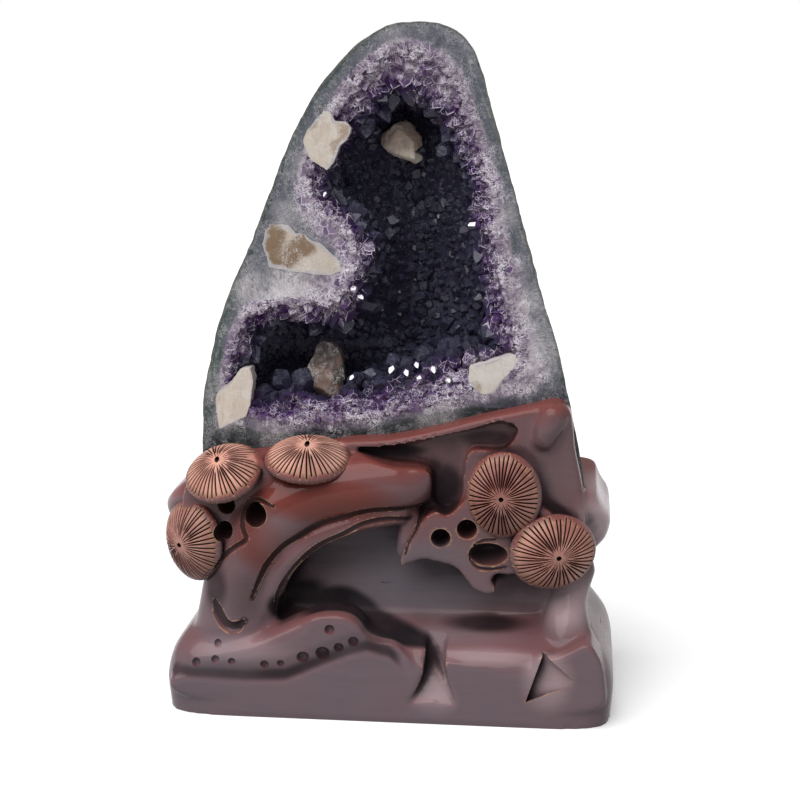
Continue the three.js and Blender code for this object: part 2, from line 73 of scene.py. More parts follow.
def catmull_rom(points: Sequence[Sequence[float]], closed: bool, dense: int = 16) -> Array:
    """Draws a centripetal Catmull-Rom curve.

    Args:
        points: What the curve goes through, each with any number of coordinates.
        closed: Whether the curve returns to its first point.
        dense: Steps on each span.

    Returns:
        The curve as rows of points.
    """
    given = np.asarray(points, float)
    count = len(given)
    rows = []
    for i in range(count if closed else count - 1):
        if closed:
            p = [given[(i + k - 1) % count] for k in range(4)]
        else:
            first = given[i - 1] if i else 2 * given[0] - given[1]
            last = given[i + 2] if i + 2 < count else 2 * given[-1] - given[-2]
            p = [first, given[i], given[i + 1], last]
        knots = [0.0]
        for k in range(3):
            knots.append(knots[-1] + max(float(np.linalg.norm(p[k + 1] - p[k])), 1e-6) ** 0.5)
        t = np.linspace(knots[1], knots[2], dense, endpoint=False)[:, None]
        for span in (1, 2):
            ends = [(knots[k], knots[k + span], p[k], p[k + 1]) for k in range(len(p) - 1)]
            p = [((high - t) * a + (t - low) * b) / (high - low) for low, high, a, b in ends]
        rows.append(((knots[2] - t) * p[0] + (t - knots[1]) * p[1]) / (knots[2] - knots[1]))
    if not closed:
        rows.append(given[-1:])
    return np.vstack(rows)


def evenly(curve: Array, count: int, closed: bool) -> Array:
    """Picks points at equal steps along a curve, by the length of its first three coordinates."""
    line = np.vstack([curve, curve[:1]]) if closed else curve
    steps = np.linalg.norm(np.diff(line[:, :3], axis=0), axis=1)
    length = np.concatenate([[0], np.cumsum(steps)])
    wanted = np.linspace(0, length[-1], count, endpoint=not closed)
    return np.stack([np.interp(wanted, length, line[:, k]) for k in range(line.shape[1])], axis=1)


def outline_loop(points: Sequence[Sequence[float]], count: int) -> Array:
    """A closed outline through the given points, at equal steps."""
    return evenly(catmull_rom(points, closed=True), count, closed=True)


def upright(ring: Array, y: Any) -> Array:
    """A flat ring stood up at one depth, or at a depth for each point."""
    return np.column_stack([ring[:, 0], np.broadcast_to(y, len(ring)), ring[:, 1]])


def eased(low: float, high: float, value: Array) -> Array:
    """Rises from 0 at low to 1 at high, level at both ends."""
    t = np.clip((value - low) / (high - low), 0, 1)
    return t * t * (3 - 2 * t)


def roughness_at(places: Array, size: float, octaves: int = 4, seed: float = 0.0) -> Array:
    """Fractal noise of about -1 to 1.

    Args:
        places: Points in millimetres.
        size: The width of the largest bumps, in millimetres.
        octaves: How many finer layers are added.
        seed: Moves the pattern to another part of the noise.

    Returns:
        One value for each point.
    """
    shift = Vector((seed, 1.7 * seed, -0.6 * seed))
    return np.array([noise.fractal(Vector(p) / size + shift, 1.0, 2.0, octaves) for p in places])


def tree_of(loop: Array) -> KDTree:
    """A search tree over the points of a flat loop."""
    tree = KDTree(len(loop))
    for i, p in enumerate(loop):
        tree.insert((p[0], p[1], 0), i)
    tree.balance()
    return tree


def within(spots: Array, loop: Array) -> Array:
    """Which flat points lie inside a closed loop.

    Args:
        spots: Points as rows of two numbers.
        loop: The loop's corners.

    Returns:
        True or False for each point.
    """
    found = np.zeros(len(spots), bool)
    for a, b in zip(loop, np.roll(loop, -1, axis=0)):
        if a[1] == b[1]:
            continue
        crossing = (a[1] > spots[:, 1]) != (b[1] > spots[:, 1])
        found ^= crossing & (spots[:, 0] < a[0] + (spots[:, 1] - a[1]) * (b[0] - a[0]) / (b[1] - a[1]))
    return found


class Bench:
    """The workbench: primitives, edit-mode tools and applied modifiers."""

    @staticmethod
    def take_up(*pieces: Piece) -> None:
        """Selects the given pieces only, the first one active."""
        bpy.ops.object.select_all(action="DESELECT")
        for piece in pieces:
            piece.select_set(True)
        bpy.context.view_layer.objects.active = pieces[0]

    @staticmethod
    @contextmanager
    def edit(piece: Piece) -> Iterator[None]:
        """Edit mode on one piece, with everything selected at first."""
        Bench.take_up(piece)
        bpy.ops.object.mode_set(mode="EDIT")
        bpy.ops.mesh.select_all(action="SELECT")
        yield
        bpy.ops.object.mode_set(mode="OBJECT")

    @staticmethod
    def pick(piece: Piece, count: int) -> None:
        """Selects the first so many points only, in edit mode."""
        bpy.ops.mesh.select_all(action="DESELECT")
        work = bmesh.from_edit_mesh(piece.data)
        work.verts.ensure_lookup_table()
        for vert in work.verts[:count]:
            vert.select_set(True)
        work.select_flush(True)

    @staticmethod
    def modify(piece: Piece, kind: str, **settings: Any) -> None:
        """Adds a modifier with the given settings and applies it."""
        Bench.take_up(piece)
        modifier = piece.modifiers.new(kind, kind)
        for key, value in settings.items():
            setattr(modifier, key, value)
        bpy.ops.object.modifier_apply(modifier=modifier.name)

    @staticmethod
    def chop(spot: Vector, way: Vector) -> None:
        """Cuts off what lies beyond a plane, of the piece in edit mode, and closes the cut."""
        bpy.ops.mesh.select_all(action="SELECT")
        bpy.ops.mesh.bisect(plane_co=spot, plane_no=way, use_fill=True, clear_outer=True)

    @staticmethod
    def loft(name: str, rings: Sequence[Array], caps: bool = True) -> Piece:
        """Stretches a skin through closed rings.

        Args:
            name: The new piece's name.
            rings: Rings with the same number of points, in millimetres.
            caps: Whether the first and the last ring are closed by a face.

        Returns:
            The piece: a circle, placed on the first ring and extruded to each of the others.
        """
        count = len(rings[0])
        bpy.ops.object.select_all(action="DESELECT")
        bpy.ops.mesh.primitive_circle_add(vertices=count, radius=MM, fill_type="NOTHING")
        piece = bpy.context.object
        piece.name = piece.data.name = name
        piece.data.vertices.foreach_set("co", (np.asarray(rings[0], float) * MM).ravel())
        bpy.ops.object.mode_set(mode="EDIT")
        bpy.ops.mesh.select_mode(type="VERT")
        bpy.ops.mesh.select_all(action="SELECT")
        place = list(range(count))
        for ring in rings[1:]:
            bpy.ops.mesh.extrude_edges_move(TRANSFORM_OT_translate={"value": (0, 0, 0)})
            work = bmesh.from_edit_mesh(piece.data)
            work.verts.ensure_lookup_table()
            for vert in work.verts[len(place) :]:
                old = next(e.other_vert(vert) for e in vert.link_edges if not e.other_vert(vert).select)
                place.append(place[old.index])
                vert.co = Vector(ring[place[-1]]) * MM
        if caps:
            bpy.ops.mesh.edge_face_add()
            Bench.pick(piece, count)
            bpy.ops.mesh.edge_face_add()
        bpy.ops.mesh.select_all(action="SELECT")
        bpy.ops.mesh.normals_make_consistent(inside=False)
        bpy.ops.object.mode_set(mode="OBJECT")
        return piece

    @staticmethod
    def mesh(name: str, places: Array, faces: Sequence[Sequence[int]]) -> Piece:
        """A piece from points in millimetres and faces."""
        data = bpy.data.meshes.new(name)
        data.from_pydata((places * MM).tolist(), [], faces)
        piece = bpy.data.objects.new(name, data)
        bpy.context.collection.objects.link(piece)
        return piece

    @staticmethod
    def plate(name: str, outline: Points, back: float, front: float, edge: float) -> Piece:
        """A plate whose outline lies in the X, Z plane, with rounded edges."""
        loop = outline_loop(outline, 120)
        rings = [upright(loop, y) for y in (back, front)]
        piece = Bench.loft(name, rings)
        Bench.modify(piece, "BEVEL", width=edge * MM, segments=4, limit_method="ANGLE")
        return piece

    @staticmethod
    def limb(name: str, path: Sequence[Sequence[float]], sides: int = 28, step: float = 3.0) -> Piece:
        """A round limb with blunt ends along a path of x, y, z and radius."""
        curve = catmull_rom(path, closed=False)
        length = float(np.linalg.norm(np.diff(curve[:, :3], axis=0), axis=1).sum())
        line = evenly(curve, max(6, int(length / step)), closed=False)
        ways = np.gradient(line[:, :3], axis=0)
        ways /= np.linalg.norm(ways, axis=1)[:, None]
        across = np.cross(ways, (0.0, 1.0, 0.0))
        across /= np.linalg.norm(across, axis=1)[:, None]
        over = np.cross(ways, across)
        angle = np.linspace(0, 2 * math.pi, sides, endpoint=False)[:, None]
        turns = [(0, -0.72, 0.35), (0, -0.45, 0.78)] + [(i, 0, 1) for i in range(len(line))]
        turns += [(-1, 0.45, 0.78), (-1, 0.72, 0.35)]
        rings = []
        for i, ahead, share in turns:
            radius = line[i, 3]
            middle = line[i, :3] + ways[i] * ahead * radius
            rings.append(middle + share * radius * (np.cos(angle) * across[i] + np.sin(angle) * over[i]))
        return Bench.loft(name, rings)

    @staticmethod
    def join(name: str, pieces: Sequence[Piece]) -> Piece:
        """Joins pieces in one object, without fusing them."""
        Bench.take_up(*pieces)
        bpy.ops.object.join()
        pieces[0].name = pieces[0].data.name = name
        return pieces[0]

    @staticmethod
    def combine(piece: Piece, tool: Piece, operation: str) -> None:
        """Cuts the tool out of the piece, or fuses it with the piece, and clears the tool away."""
        Bench.modify(piece, "BOOLEAN", operation=operation, object=tool, solver="MANIFOLD")
        bpy.data.objects.remove(tool)

    @staticmethod
    def drill(name: str, at: Triple, radius: float, depth: float, wide: float = 1.0) -> Piece:
        """A blunt drill that points along +Y, its mouth centred on a point."""
        bpy.ops.object.select_all(action="DESELECT")
        size = {"radius": radius * MM, "location": Vector(at) * MM, "scale": (wide, depth / radius, 1.0)}
        bpy.ops.mesh.primitive_uv_sphere_add(segments=32, ring_count=20, **size)
        tool = bpy.context.object
        tool.name = name
        bpy.ops.object.transform_apply(location=True, rotation=True, scale=True)
        return tool

    @staticmethod
    def clean(piece: Piece, gap: float = 0.02) -> None:
        """Merges doubled points and turns the faces outwards."""
        with Bench.edit(piece):
            bpy.ops.mesh.remove_doubles(threshold=gap * MM)
            bpy.ops.mesh.normals_make_consistent(inside=False)

    @staticmethod
    def refine(piece: Piece, longest: float) -> None:
        """Splits edges longer than so many millimetres, so that a number noted on a point stays local."""
        with Bench.edit(piece):
            work = bmesh.from_edit_mesh(piece.data)
            for _ in range(5):
                edges = [e for e in work.edges if e.calc_length() > longest * MM]
                bmesh.ops.subdivide_edges(work, edges=edges, cuts=1)
                bmesh.ops.triangulate(work, faces=[f for f in work.faces if len(f.verts) > 3])
            bmesh.update_edit_mesh(piece.data)

    @staticmethod
    def places(piece: Piece) -> Array:
        """The piece's points, in millimetres."""
        co = np.zeros(len(piece.data.vertices) * 3)
        piece.data.vertices.foreach_get("co", co)
        return co.reshape(-1, 3) / MM

    @staticmethod
    def put(piece: Piece, places: Array) -> None:
        """Moves the piece's points, given in millimetres."""
        piece.data.vertices.foreach_set("co", (places * MM).ravel())
        piece.data.update()

    @staticmethod
    def note(piece: Piece, name: str, values: Array, domain: str = "POINT") -> None:
        """Writes one number for each point, or for each corner, for a material to read."""
        layer = piece.data.attributes.new(name, "FLOAT", domain)
        layer.data.foreach_set("value", np.asarray(values, np.float32))


class Graph:
    """A material's nodes, added one by one and wired by name."""

    def __init__(self, name: str) -> None:
        """Starts a material with an output and a Principled shader."""
        self.material = bpy.data.materials.new(name)
        self.material.use_nodes = True
        self.tree = self.material.node_tree
        self.tree.nodes.clear()
        self.output = self.tree.nodes.new("ShaderNodeOutputMaterial")
        self.shader = self.tree.nodes.new("ShaderNodeBsdfPrincipled")
        self.wire(self.shader.outputs["BSDF"], self.output.inputs["Surface"])

    def wire(self, source: Any, target: Any) -> None:
        """Joins an output to an input, or sets the input to a plain value or to an opaque colour."""
        if isinstance(source, bpy.types.NodeSocket):
            self.tree.links.new(source, target)
        else:
            target.default_value = (*source, 1.0) if target.type == "RGBA" else source

    def add(self, kind: str, inputs: dict[Any, Any] | None = None, **settings: Any) -> bpy.types.Node:
        """Adds a node, sets its options and wires or sets its inputs."""
        node = self.tree.nodes.new(kind)
        for key, value in settings.items():
            setattr(node, key, value)
        for key, value in (inputs or {}).items():
            self.wire(value, node.inputs[key])
        return node

    def noted(self, name: str) -> Any:
        """The number that a piece's points carry under this name."""
        return self.add("ShaderNodeAttribute", attribute_name=name).outputs["Fac"]

    def place(self, stretch: Triple = (1.0, 1.0, 1.0)) -> Any:
        """Object coordinates, stretched."""
        coords = self.add("ShaderNodeTexCoord").outputs["Object"]
        return self.add("ShaderNodeMapping", {"Vector": coords, "Scale": stretch}).outputs["Vector"]

    def noise(
        self, vector: Any, scale: float, detail: float = 4.0, rough: float = 0.55, warp: float = 0.0
    ) -> Any:
        """Noise of 0 to 1 about a middle of 0.5."""
        values = {"Vector": vector, "Scale": scale, "Detail": detail, "Roughness": rough, "Distortion": warp}
        return self.add("ShaderNodeTexNoise", values).outputs["Fac"]

    def math(self, operation: str, *values: Any) -> Any:
        """One step of arithmetic."""
        return self.add("ShaderNodeMath", dict(enumerate(values)), operation=operation).outputs[0]

    def times(self, *values: Any) -> Any:
        """The product of two numbers."""
        return self.math("MULTIPLY", *values)

    def spread(self, value: Any, low: float, high: float, to_low: float = 0.0, to_high: float = 1.0) -> Any:
        """Maps one range on another, smoothly and held at both ends."""
        values = {"Value": value, "From Min": low, "From Max": high, "To Min": to_low, "To Max": to_high}
        return self.add("ShaderNodeMapRange", values, interpolation_type="SMOOTHSTEP").outputs["Result"]

    def mix(self, share: Any, first: Any, second: Any, blend: str = "MIX") -> Any:
        """Blends two colours."""
        node = self.add("ShaderNodeMix", data_type="RGBA", blend_type=blend)
        colours = [s for s in node.inputs if s.type == "RGBA"]
        self.wire(share, node.inputs[0])
        self.wire(first, colours[0])
        self.wire(second, colours[1])
        return next(s for s in node.outputs if s.type == "RGBA")

    def ramp(self, value: Any, stops: Sequence[tuple[float, Sequence[float]]]) -> Any:
        """Turns a number into a colour."""
        node = self.add("ShaderNodeValToRGB", {"Fac": value})
        while len(node.color_ramp.elements) < len(stops):
            node.color_ramp.elements.new(0.5)
        for element, (at, colour) in zip(node.color_ramp.elements, stops):
            element.position = at
            element.color = (*colour, 1.0)
        return node.outputs["Color"]

    def bump(self, height: Any, depth: float, strength: float = 1.0, below: Any = None) -> Any:
        """A bump of the given depth in metres, over another bump if there is one."""
        values = {"Height": height, "Distance": depth, "Strength": strength}
        if below is not None:
            values["Normal"] = below
        return self.add("ShaderNodeBump", values).outputs["Normal"]

    def finish(self, **values: Any) -> bpy.types.Material:
        """Sets the shader's sockets, given with underscores for spaces, and returns the material."""
        for key, value in values.items():
            self.wire(value, self.shader.inputs[key.replace("_", " ")])
        return self.material


@dataclass(frozen=True)
class LacqueredWood:
    """Red-brown stain under satin lacquer, with painted shade in hollows, painted sheen, and tan edges partly
    rubbed, partly painted highlight.
    """

    name: str = "lacquered_wood"
    # Red on upward faces and high parts, where the painted sheen is left out.
    bright: Colour = (0.160, 0.040, 0.032)
    # The colour of the other faces: the stain greyed by a painted sheen of the room.
    stain: Colour = (0.150, 0.112, 0.130)
    needles: Colour = (0.70, 0.39, 0.31)
    # A grey tone, partly a painted sheen, for the recess, the plinth and the cape.
    grey_sheen: Colour = (0.155, 0.138, 0.158)
    # A pale pink painted sheen.
    pale_sheen: Colour = (0.48, 0.38, 0.41)
    # The near black of the painted shade.
    dark: Colour = (0.009, 0.008, 0.010)
    # Tan on convex edges: partly rubbed lacquer, partly a painted edge highlight.
    rubbed_highlight: Colour = (0.44, 0.26, 0.16)

    def material(self) -> bpy.types.Material:
        """Builds the finish from the numbers that the points carry, with faint grain along the plinth."""
        g = Graph(self.name)
        here = g.place()
        grain = g.noise(g.place((60.0, 420.0, 420.0)), 1.0, detail=6.0, rough=0.6, warp=0.6)
        patches = g.noise(here, 26.0, detail=3.0)
        pores = g.noise(g.place((300.0, 1500.0, 1500.0)), 1.0, detail=2.0)
        # Painted sheen: upward faces and high parts red, the others greyed.
        colour = g.mix(g.spread(g.noted("lift"), 0.0, 1.0), self.stain, self.bright)
        # Pale pink painted sheen in spots.
        colour = g.mix(g.noted("pale_sheen"), colour, self.pale_sheen)
        sides = g.math("ADD", g.noted("tuft"), g.spread(g.noise(here, 45.0), 0.3, 0.7, -0.45, 0.1))
        needles = g.mix(g.spread(sides, 0.0, 1.0), (0.30, 0.11, 0.085), self.needles)
        colour = g.mix(g.noted("tuft"), colour, needles)
        # Grey tone, partly a painted sheen.
        colour = g.mix(g.noted("grey_sheen"), colour, self.grey_sheen)
        colour = g.mix(g.spread(grain, 0.35, 0.75, 0.0, 0.12), colour, (0.45, 0.4, 0.4), blend="MULTIPLY")
        colour = g.mix(g.spread(patches, 0.3, 0.7, 0.0, 0.3), colour, (1.3, 0.95, 0.85), blend="MULTIPLY")
        # Painted shade: near black where the body hides the sky and under the painted shadows.
        hollow = g.math("ADD", g.noted("hollow"), g.spread(patches, 0.3, 0.7, -0.06, 0.06))
        colour = g.mix(g.spread(hollow, 0.12, 0.85), colour, self.dark)
        # The tufts' grooves painted near black: painted shade.
        colour = g.mix(g.noted("groove"), colour, (0.016, 0.009, 0.009))
        # Tan on convex edges: partly rubbed lacquer, partly a painted edge highlight.
        wear_and_highlight = g.math("ADD", g.noted("wear_and_highlight"), g.spread(pores, 0.3, 0.7, -0.12, 0.12))
        colour = g.mix(g.spread(wear_and_highlight, 0.25, 0.85, 0.0, 0.85), colour, self.rubbed_highlight)
        gloss = g.spread(g.math("ADD", patches, g.times(grain, 0.4)), 0.5, 1.0, 0.25, 0.36)
        dull = g.math("MAXIMUM", g.noted("hollow"), g.times(g.noted("tuft"), 0.8))
        dull = g.math("MAXIMUM", dull, g.times(g.noted("grey_sheen"), 0.6))
        gloss = g.math("ADD", gloss, g.times(dull, 0.25))
        # Where the painted shade and the grey tone lie, the coat is thinner.
        dull_shade = g.math("MAXIMUM", g.noted("grey_sheen"), g.spread(hollow, 0.3, 0.8))
        normal = g.bump(grain, 0.00012, 0.1)
        normal = g.bump(pores, 0.00008, 0.25, below=normal)
        return g.finish(
            Base_Color=colour,
            Roughness=gloss,
            Normal=normal,
            Specular_IOR_Level=0.03,
            Coat_Weight=g.spread(dull_shade, 0.1, 0.8, 0.28, 0.04),
            Coat_Roughness=0.11,
            Coat_IOR=1.5,
        )


@dataclass(frozen=True)
class AgateAndBasalt:
    """The sawn face, from basalt through agate to fibrous quartz, and the rough rind behind it."""

    name: str = "agate_and_basalt"
    basalt: Colour = (0.010, 0.015, 0.018)
    moss: Colour = (0.055, 0.085, 0.080)
    agate: Colour = (0.050, 0.058, 0.080)
    pale_agate: Colour = (0.136, 0.137, 0.166)
    fibre: Colour = (0.44, 0.38, 0.44)
    frosted: Colour = (0.60, 0.56, 0.58)
    lilac: Colour = (0.15, 0.11, 0.165)
    white: Colour = (0.80, 0.76, 0.80)
    rough_rind: Colour = (0.13, 0.135, 0.125)

    def material(self) -> bpy.types.Material:
        """Builds the finish from the distances to the rind and to the cavity's rim."""
        g = Graph(self.name)
        here = g.place()
        blotch = g.noise(here, 95.0, detail=6.0, rough=0.65, warp=0.8)
        speck = g.noise(here, 650.0, detail=4.0, rough=0.75)
        cloud = g.noise(here, 38.0, detail=5.0, warp=1.5)
        mottle = g.noise(here, 210.0, detail=5.0, rough=0.7, warp=1.6)
        layers = self._layers(g)
        curls = self.curls(g)
        frost = g.noted("frost")
        outer = g.math("ADD", g.noted("from_rind"), g.spread(blotch, 0.2, 0.8, -0.9, 0.9))
        inner = g.math("ADD", g.noted("from_rim"), g.spread(cloud, 0.25, 0.75, 0.4, -0.4))
        agate = g.mix(g.spread(cloud, 0.36, 0.66), self.agate, self.pale_agate)
        agate = g.mix(g.spread(layers, 0.45, 0.7, 0.0, 0.7), agate, (0.075, 0.08, 0.095))
        agate = g.mix(g.spread(layers, 0.45, 0.3, 0.0, 0.5), agate, (0.28, 0.28, 0.30))
        agate = g.mix(g.spread(mottle, 0.46, 0.66, 0.0, 0.6), agate, (0.07, 0.08, 0.09))
        agate = g.mix(g.spread(mottle, 0.45, 0.3, 0.0, 0.5), agate, (0.29, 0.285, 0.305))
        agate = g.mix(g.spread(speck, 0.52, 0.72, 0.0, 0.6), agate, (0.36, 0.36, 0.39))
        rind = g.mix(g.spread(layers, 0.4, 0.6), self.basalt, self.moss)
        rind = g.mix(g.spread(speck, 0.5, 0.64, 0.0, 0.6), rind, self.moss)
        pale = g.math("ADD", speck, g.spread(layers, 0.3, 0.7, -0.12, 0.12))
        rind = g.mix(g.spread(pale, 0.56, 0.68), rind, (0.25, 0.26, 0.26))
        face = g.mix(g.spread(outer, -0.25, 0.4), rind, agate)
        feathers = g.mix(self.fibres(g, inner), self.lilac, self.fibre)
        feathers = g.mix(g.times(frost, 0.6), feathers, self.frosted)
        feathers = g.mix(g.spread(mottle, 0.52, 0.68, 0.0, 0.7), feathers, (0.085, 0.05, 0.10))
        violet = g.spread(g.math("SUBTRACT", g.noted("violet"), cloud), -0.5, 0.1)
        feathers = g.mix(violet, feathers, self._mosaic(g))
        face = g.mix(g.spread(inner, 1.4, 0.6), face, feathers)
        face = g.mix(g.noted("low"), face, (0.4, 0.4, 0.46), blend="MULTIPLY")
        needled = g.times(frost, g.spread(self.needles(g), 0.35, 0.62, 0.15, 0.9))
        face = g.mix(needled, face, self.frosted)
        lined = g.math("MAXIMUM", g.math("MAXIMUM", g.spread(inner, 1.7, 0.8), frost), 0.4)
        face = g.mix(g.times(g.times(curls, 0.8), lined), face, self.white)
        outside = g.mix(g.spread(blotch, 0.35, 0.7), self.rough_rind, (0.045, 0.055, 0.052))
        outside = g.mix(g.spread(mottle, 0.5, 0.66, 0.0, 0.7), outside, (0.27, 0.235, 0.175))
        outside = g.mix(g.spread(speck, 0.45, 0.7, 0.0, 0.5), outside, (0.30, 0.29, 0.26))
        colour = g.mix(g.noted("sawn"), outside, face)
        # The hollow's wall behind the crystals, painted near black as shade.
        colour = g.mix(g.noted("lining"), colour, (0.008, 0.006, 0.014))
        rough = g.math("SUBTRACT", 0.86, g.times(g.noted("sawn"), 0.46))
        rough = g.math("ADD", rough, g.spread(speck, 0.3, 0.7, -0.06, 0.1))
        normal = g.bump(blotch, 0.0012, 0.3)
        normal = g.bump(speck, 0.0004, 0.5, below=normal)
        return g.finish(Base_Color=colour, Roughness=rough, Normal=normal, IOR=1.54)

    @staticmethod
    def curls(g: Graph) -> Any:
        """Thin curling lines, as the edges of small crystals draw them."""
        field = g.noise(g.place(), 260.0, detail=3.0, rough=0.6, warp=2.6)
        line = g.math("ABSOLUTE", g.math("SUBTRACT", field, 0.5))
        return g.times(g.spread(line, 0.07, 0.01), g.spread(g.noise(g.place(), 110.0), 0.42, 0.6))

    @staticmethod
    def _mosaic(g: Graph) -> Any:
        """Violet crystals sawn through: cells of several tones between pale lines."""
        cells = {"Vector": g.place(), "Scale": 230.0}
        tones = g.add("ShaderNodeTexVoronoi", cells).outputs["Color"]
        lines = g.add("ShaderNodeTexVoronoi", cells, feature="DISTANCE_TO_EDGE").outputs["Distance"]
        violet = g.mix(g.spread(tones, 0.2, 0.8), (0.075, 0.03, 0.115), (0.23, 0.16, 0.27))
        return g.mix(g.spread(lines, 0.09, 0.02, 0.0, 0.8), violet, (0.62, 0.56, 0.64))

    @staticmethod
    def _strata(g: Graph, along: float, across: Any, detail: float, rough: float, warp: float) -> Any:
        """Noise stretched along the rim or across the wall."""
        place = {"X": g.times(g.noted("along"), along), "Y": across}
        return g.noise(g.add("ShaderNodeCombineXYZ", place).outputs["Vector"], 1.0, detail, rough, warp)

    @staticmethod
    def _layers(g: Graph) -> Any:
        """The stone's thin layers, which run along the rim."""
        across = g.times(g.noted("depth_in_wall"), 0.5)
        return AgateAndBasalt._strata(g, 0.035, across, 6.0, 0.65, 0.9)

    @staticmethod
    def needles(g: Graph) -> Any:
        """Fine needles of quartz that run across the wall."""
        across = g.times(g.noted("depth_in_wall"), 0.22)
        return AgateAndBasalt._strata(g, 1.3, across, 4.0, 0.7, 0.8)

    @staticmethod
    def fibres(g: Graph, inner: Any) -> Any:
        """How pale the quartz is: feathery fibres that run towards the rim."""
        fibres = AgateAndBasalt._strata(g, 0.5, g.times(inner, 1.3), 5.0, 0.75, 1.4)
        frost = g.noise(g.place(), 420.0, detail=4.0, rough=0.7)
        hairs = g.spread(AgateAndBasalt.needles(g), 0.5, 0.68, 0.0, 0.6)
        cloudy = g.spread(g.math("ADD", fibres, g.spread(frost, 0.3, 0.7, -0.12, 0.12)), 0.4, 0.62)
        return g.math("MAXIMUM", cloudy, hairs)


@dataclass(frozen=True)
class Amethyst:
    """Quartz crystals, lilac at the rim and violet further in, painted almost black as shade in the depth of
    the hollow.
    """

    name: str = "amethyst"

    def material(self) -> bpy.types.Material:
        """Builds the finish from each crystal's painted tone and gloss, with veins, pale edges painted as
        highlights and faces painted white as glints.
        """
        g = Graph(self.name)
        here = g.place()
        veil = g.noise(here, 420.0, detail=4.0, rough=0.7, warp=1.5)
        tone = g.math("ADD", g.noted("tone"), g.spread(veil, 0.3, 0.7, 0.06, -0.08))
        # Pale lilac to violet near the rim, nearly black from 0.75 on as painted shade, and the last stop a
        # painted lighter tone where the hollow is deepest.
        colour = g.ramp(
            tone,
            [
                (0.0, (0.60, 0.54, 0.62)),
                (0.25, (0.25, 0.18, 0.27)),
                (0.42, (0.105, 0.050, 0.145)),
                (0.58, (0.060, 0.024, 0.102)),
                (0.75, (0.042, 0.032, 0.074)),
                (0.9, (0.031, 0.031, 0.054)),
                (1.0, (0.16, 0.16, 0.225)),
            ],
        )
        pale = g.spread(tone, 0.72, 0.36)
        wisps = g.times(g.spread(veil, 0.54, 0.74, 0.0, 0.45), pale)
        colour = g.mix(wisps, colour, (0.5, 0.43, 0.52))
        smoky = g.times(g.spread(veil, 0.46, 0.3, 0.0, 0.7), pale)
        colour = g.mix(smoky, colour, (0.05, 0.022, 0.075))
        colour = g.mix(g.times(AgateAndBasalt.curls(g), pale), colour, (0.8, 0.76, 0.82))
        patchy = g.noise(here, 130.0, detail=2.0)
        # Pale lines along the crystals' edges: painted edge highlights.
        heart = g.noted("heart")
        edge = g.math("ADD", heart, g.spread(patchy, 0.42, 0.56, 0.16, -0.02))
        shown = g.times(g.spread(tone, 0.86, 0.6), g.spread(edge, 0.14, 0.03, 0.0, 0.9))
        colour = g.mix(shown, colour, (0.72, 0.67, 0.74))
        stone = AgateAndBasalt()
        fibres = stone.fibres(g, g.times(g.noted("depth_in_wall"), 0.12))
        felt = g.mix(fibres, stone.lilac, stone.fibre)
        felt = g.mix(g.spread(tone, 0.32, 0.62), felt, (0.105, 0.055, 0.14))
        felt = g.mix(AgateAndBasalt.curls(g), felt, (0.8, 0.76, 0.82))
        colour = g.mix(g.spread(heart, -0.4, -0.9), colour, felt)
        # Faces painted white: painted glints.
        colour = g.mix(g.spread(heart, 1.0, 2.0), colour, (0.93, 0.92, 0.95))
        rough = g.spread(g.noted("gloss"), 0.0, 1.0, 0.5, 0.1)
        normal = g.bump(veil, 0.0002, 0.15)
        return g.finish(
            Base_Color=colour,
            Roughness=rough,
            Normal=normal,
            IOR=1.544,
            Specular_IOR_Level=0.12,
            Coat_Weight=0.16,
            Coat_Roughness=0.07,
            Coat_IOR=1.6,
        )


@dataclass(frozen=True)
class CalciteStone:
    """Waxy calcite, rough as sugar, between a clean and a stained colour."""

    name: str
    clean: Colour
    stained: Colour

    def material(self) -> bpy.types.Material:
        """Builds the finish: the piece's stains, which on some calcites are painted shade, its clouds, growth
        lines and sugary grains.
        """
        g = Graph(self.name)
        here = g.place()
        cloud = g.noise(here, 90.0, detail=5.0, rough=0.6, warp=0.8)
        sugar = g.noise(here, 950.0, detail=4.0, rough=0.75)
        lines = g.noise(g.place((500.0, 200.0, 90.0)), 1.0, detail=4.0, warp=1.0)
        stain = g.math("ADD", g.noted("stain"), g.spread(cloud, 0.3, 0.7, -0.3, 0.3))
        colour = g.mix(g.spread(stain, 0.1, 0.9), self.clean, self.stained)
        colour = g.mix(g.spread(lines, 0.45, 0.7, 0.0, 0.35), colour, (0.72, 0.66, 0.6), blend="MULTIPLY")
        cells = {"Vector": here, "Scale": 150.0, "Randomness": 1.0}
        facets = g.add("ShaderNodeTexVoronoi", cells).outputs["Color"]
        colour = g.mix(g.spread(facets, 0.2, 0.8, 0.0, 0.4), colour, (0.8, 0.76, 0.74), blend="MULTIPLY")
        colour = g.mix(g.spread(sugar, 0.42, 0.7, 0.0, 0.5), colour, (1.15, 1.13, 1.1), blend="MULTIPLY")
        colour = g.mix(g.spread(sugar, 0.42, 0.3, 0.0, 0.5), colour, (0.6, 0.56, 0.52), blend="MULTIPLY")
        edge = g.math("ADD", g.noted("margin"), g.spread(cloud, 0.3, 0.7, -0.4, 0.4))
        colour = g.mix(g.spread(edge, 0.75, 0.1), colour, (0.52, 0.48, 0.49))
        colour = g.mix(g.times(AgateAndBasalt.curls(g), 0.6), colour, (0.8, 0.76, 0.74))
        normal = g.bump(cloud, 0.002, 0.25)
        normal = g.bump(sugar, 0.0005, 0.5, below=normal)
        return g.finish(
            Base_Color=colour,
            Roughness=0.5,
            Normal=normal,
            IOR=1.49,
            Subsurface_Weight=0.2,
            Subsurface_Radius=(0.003, 0.0024, 0.0018),
            Subsurface_Scale=1.0,
        )


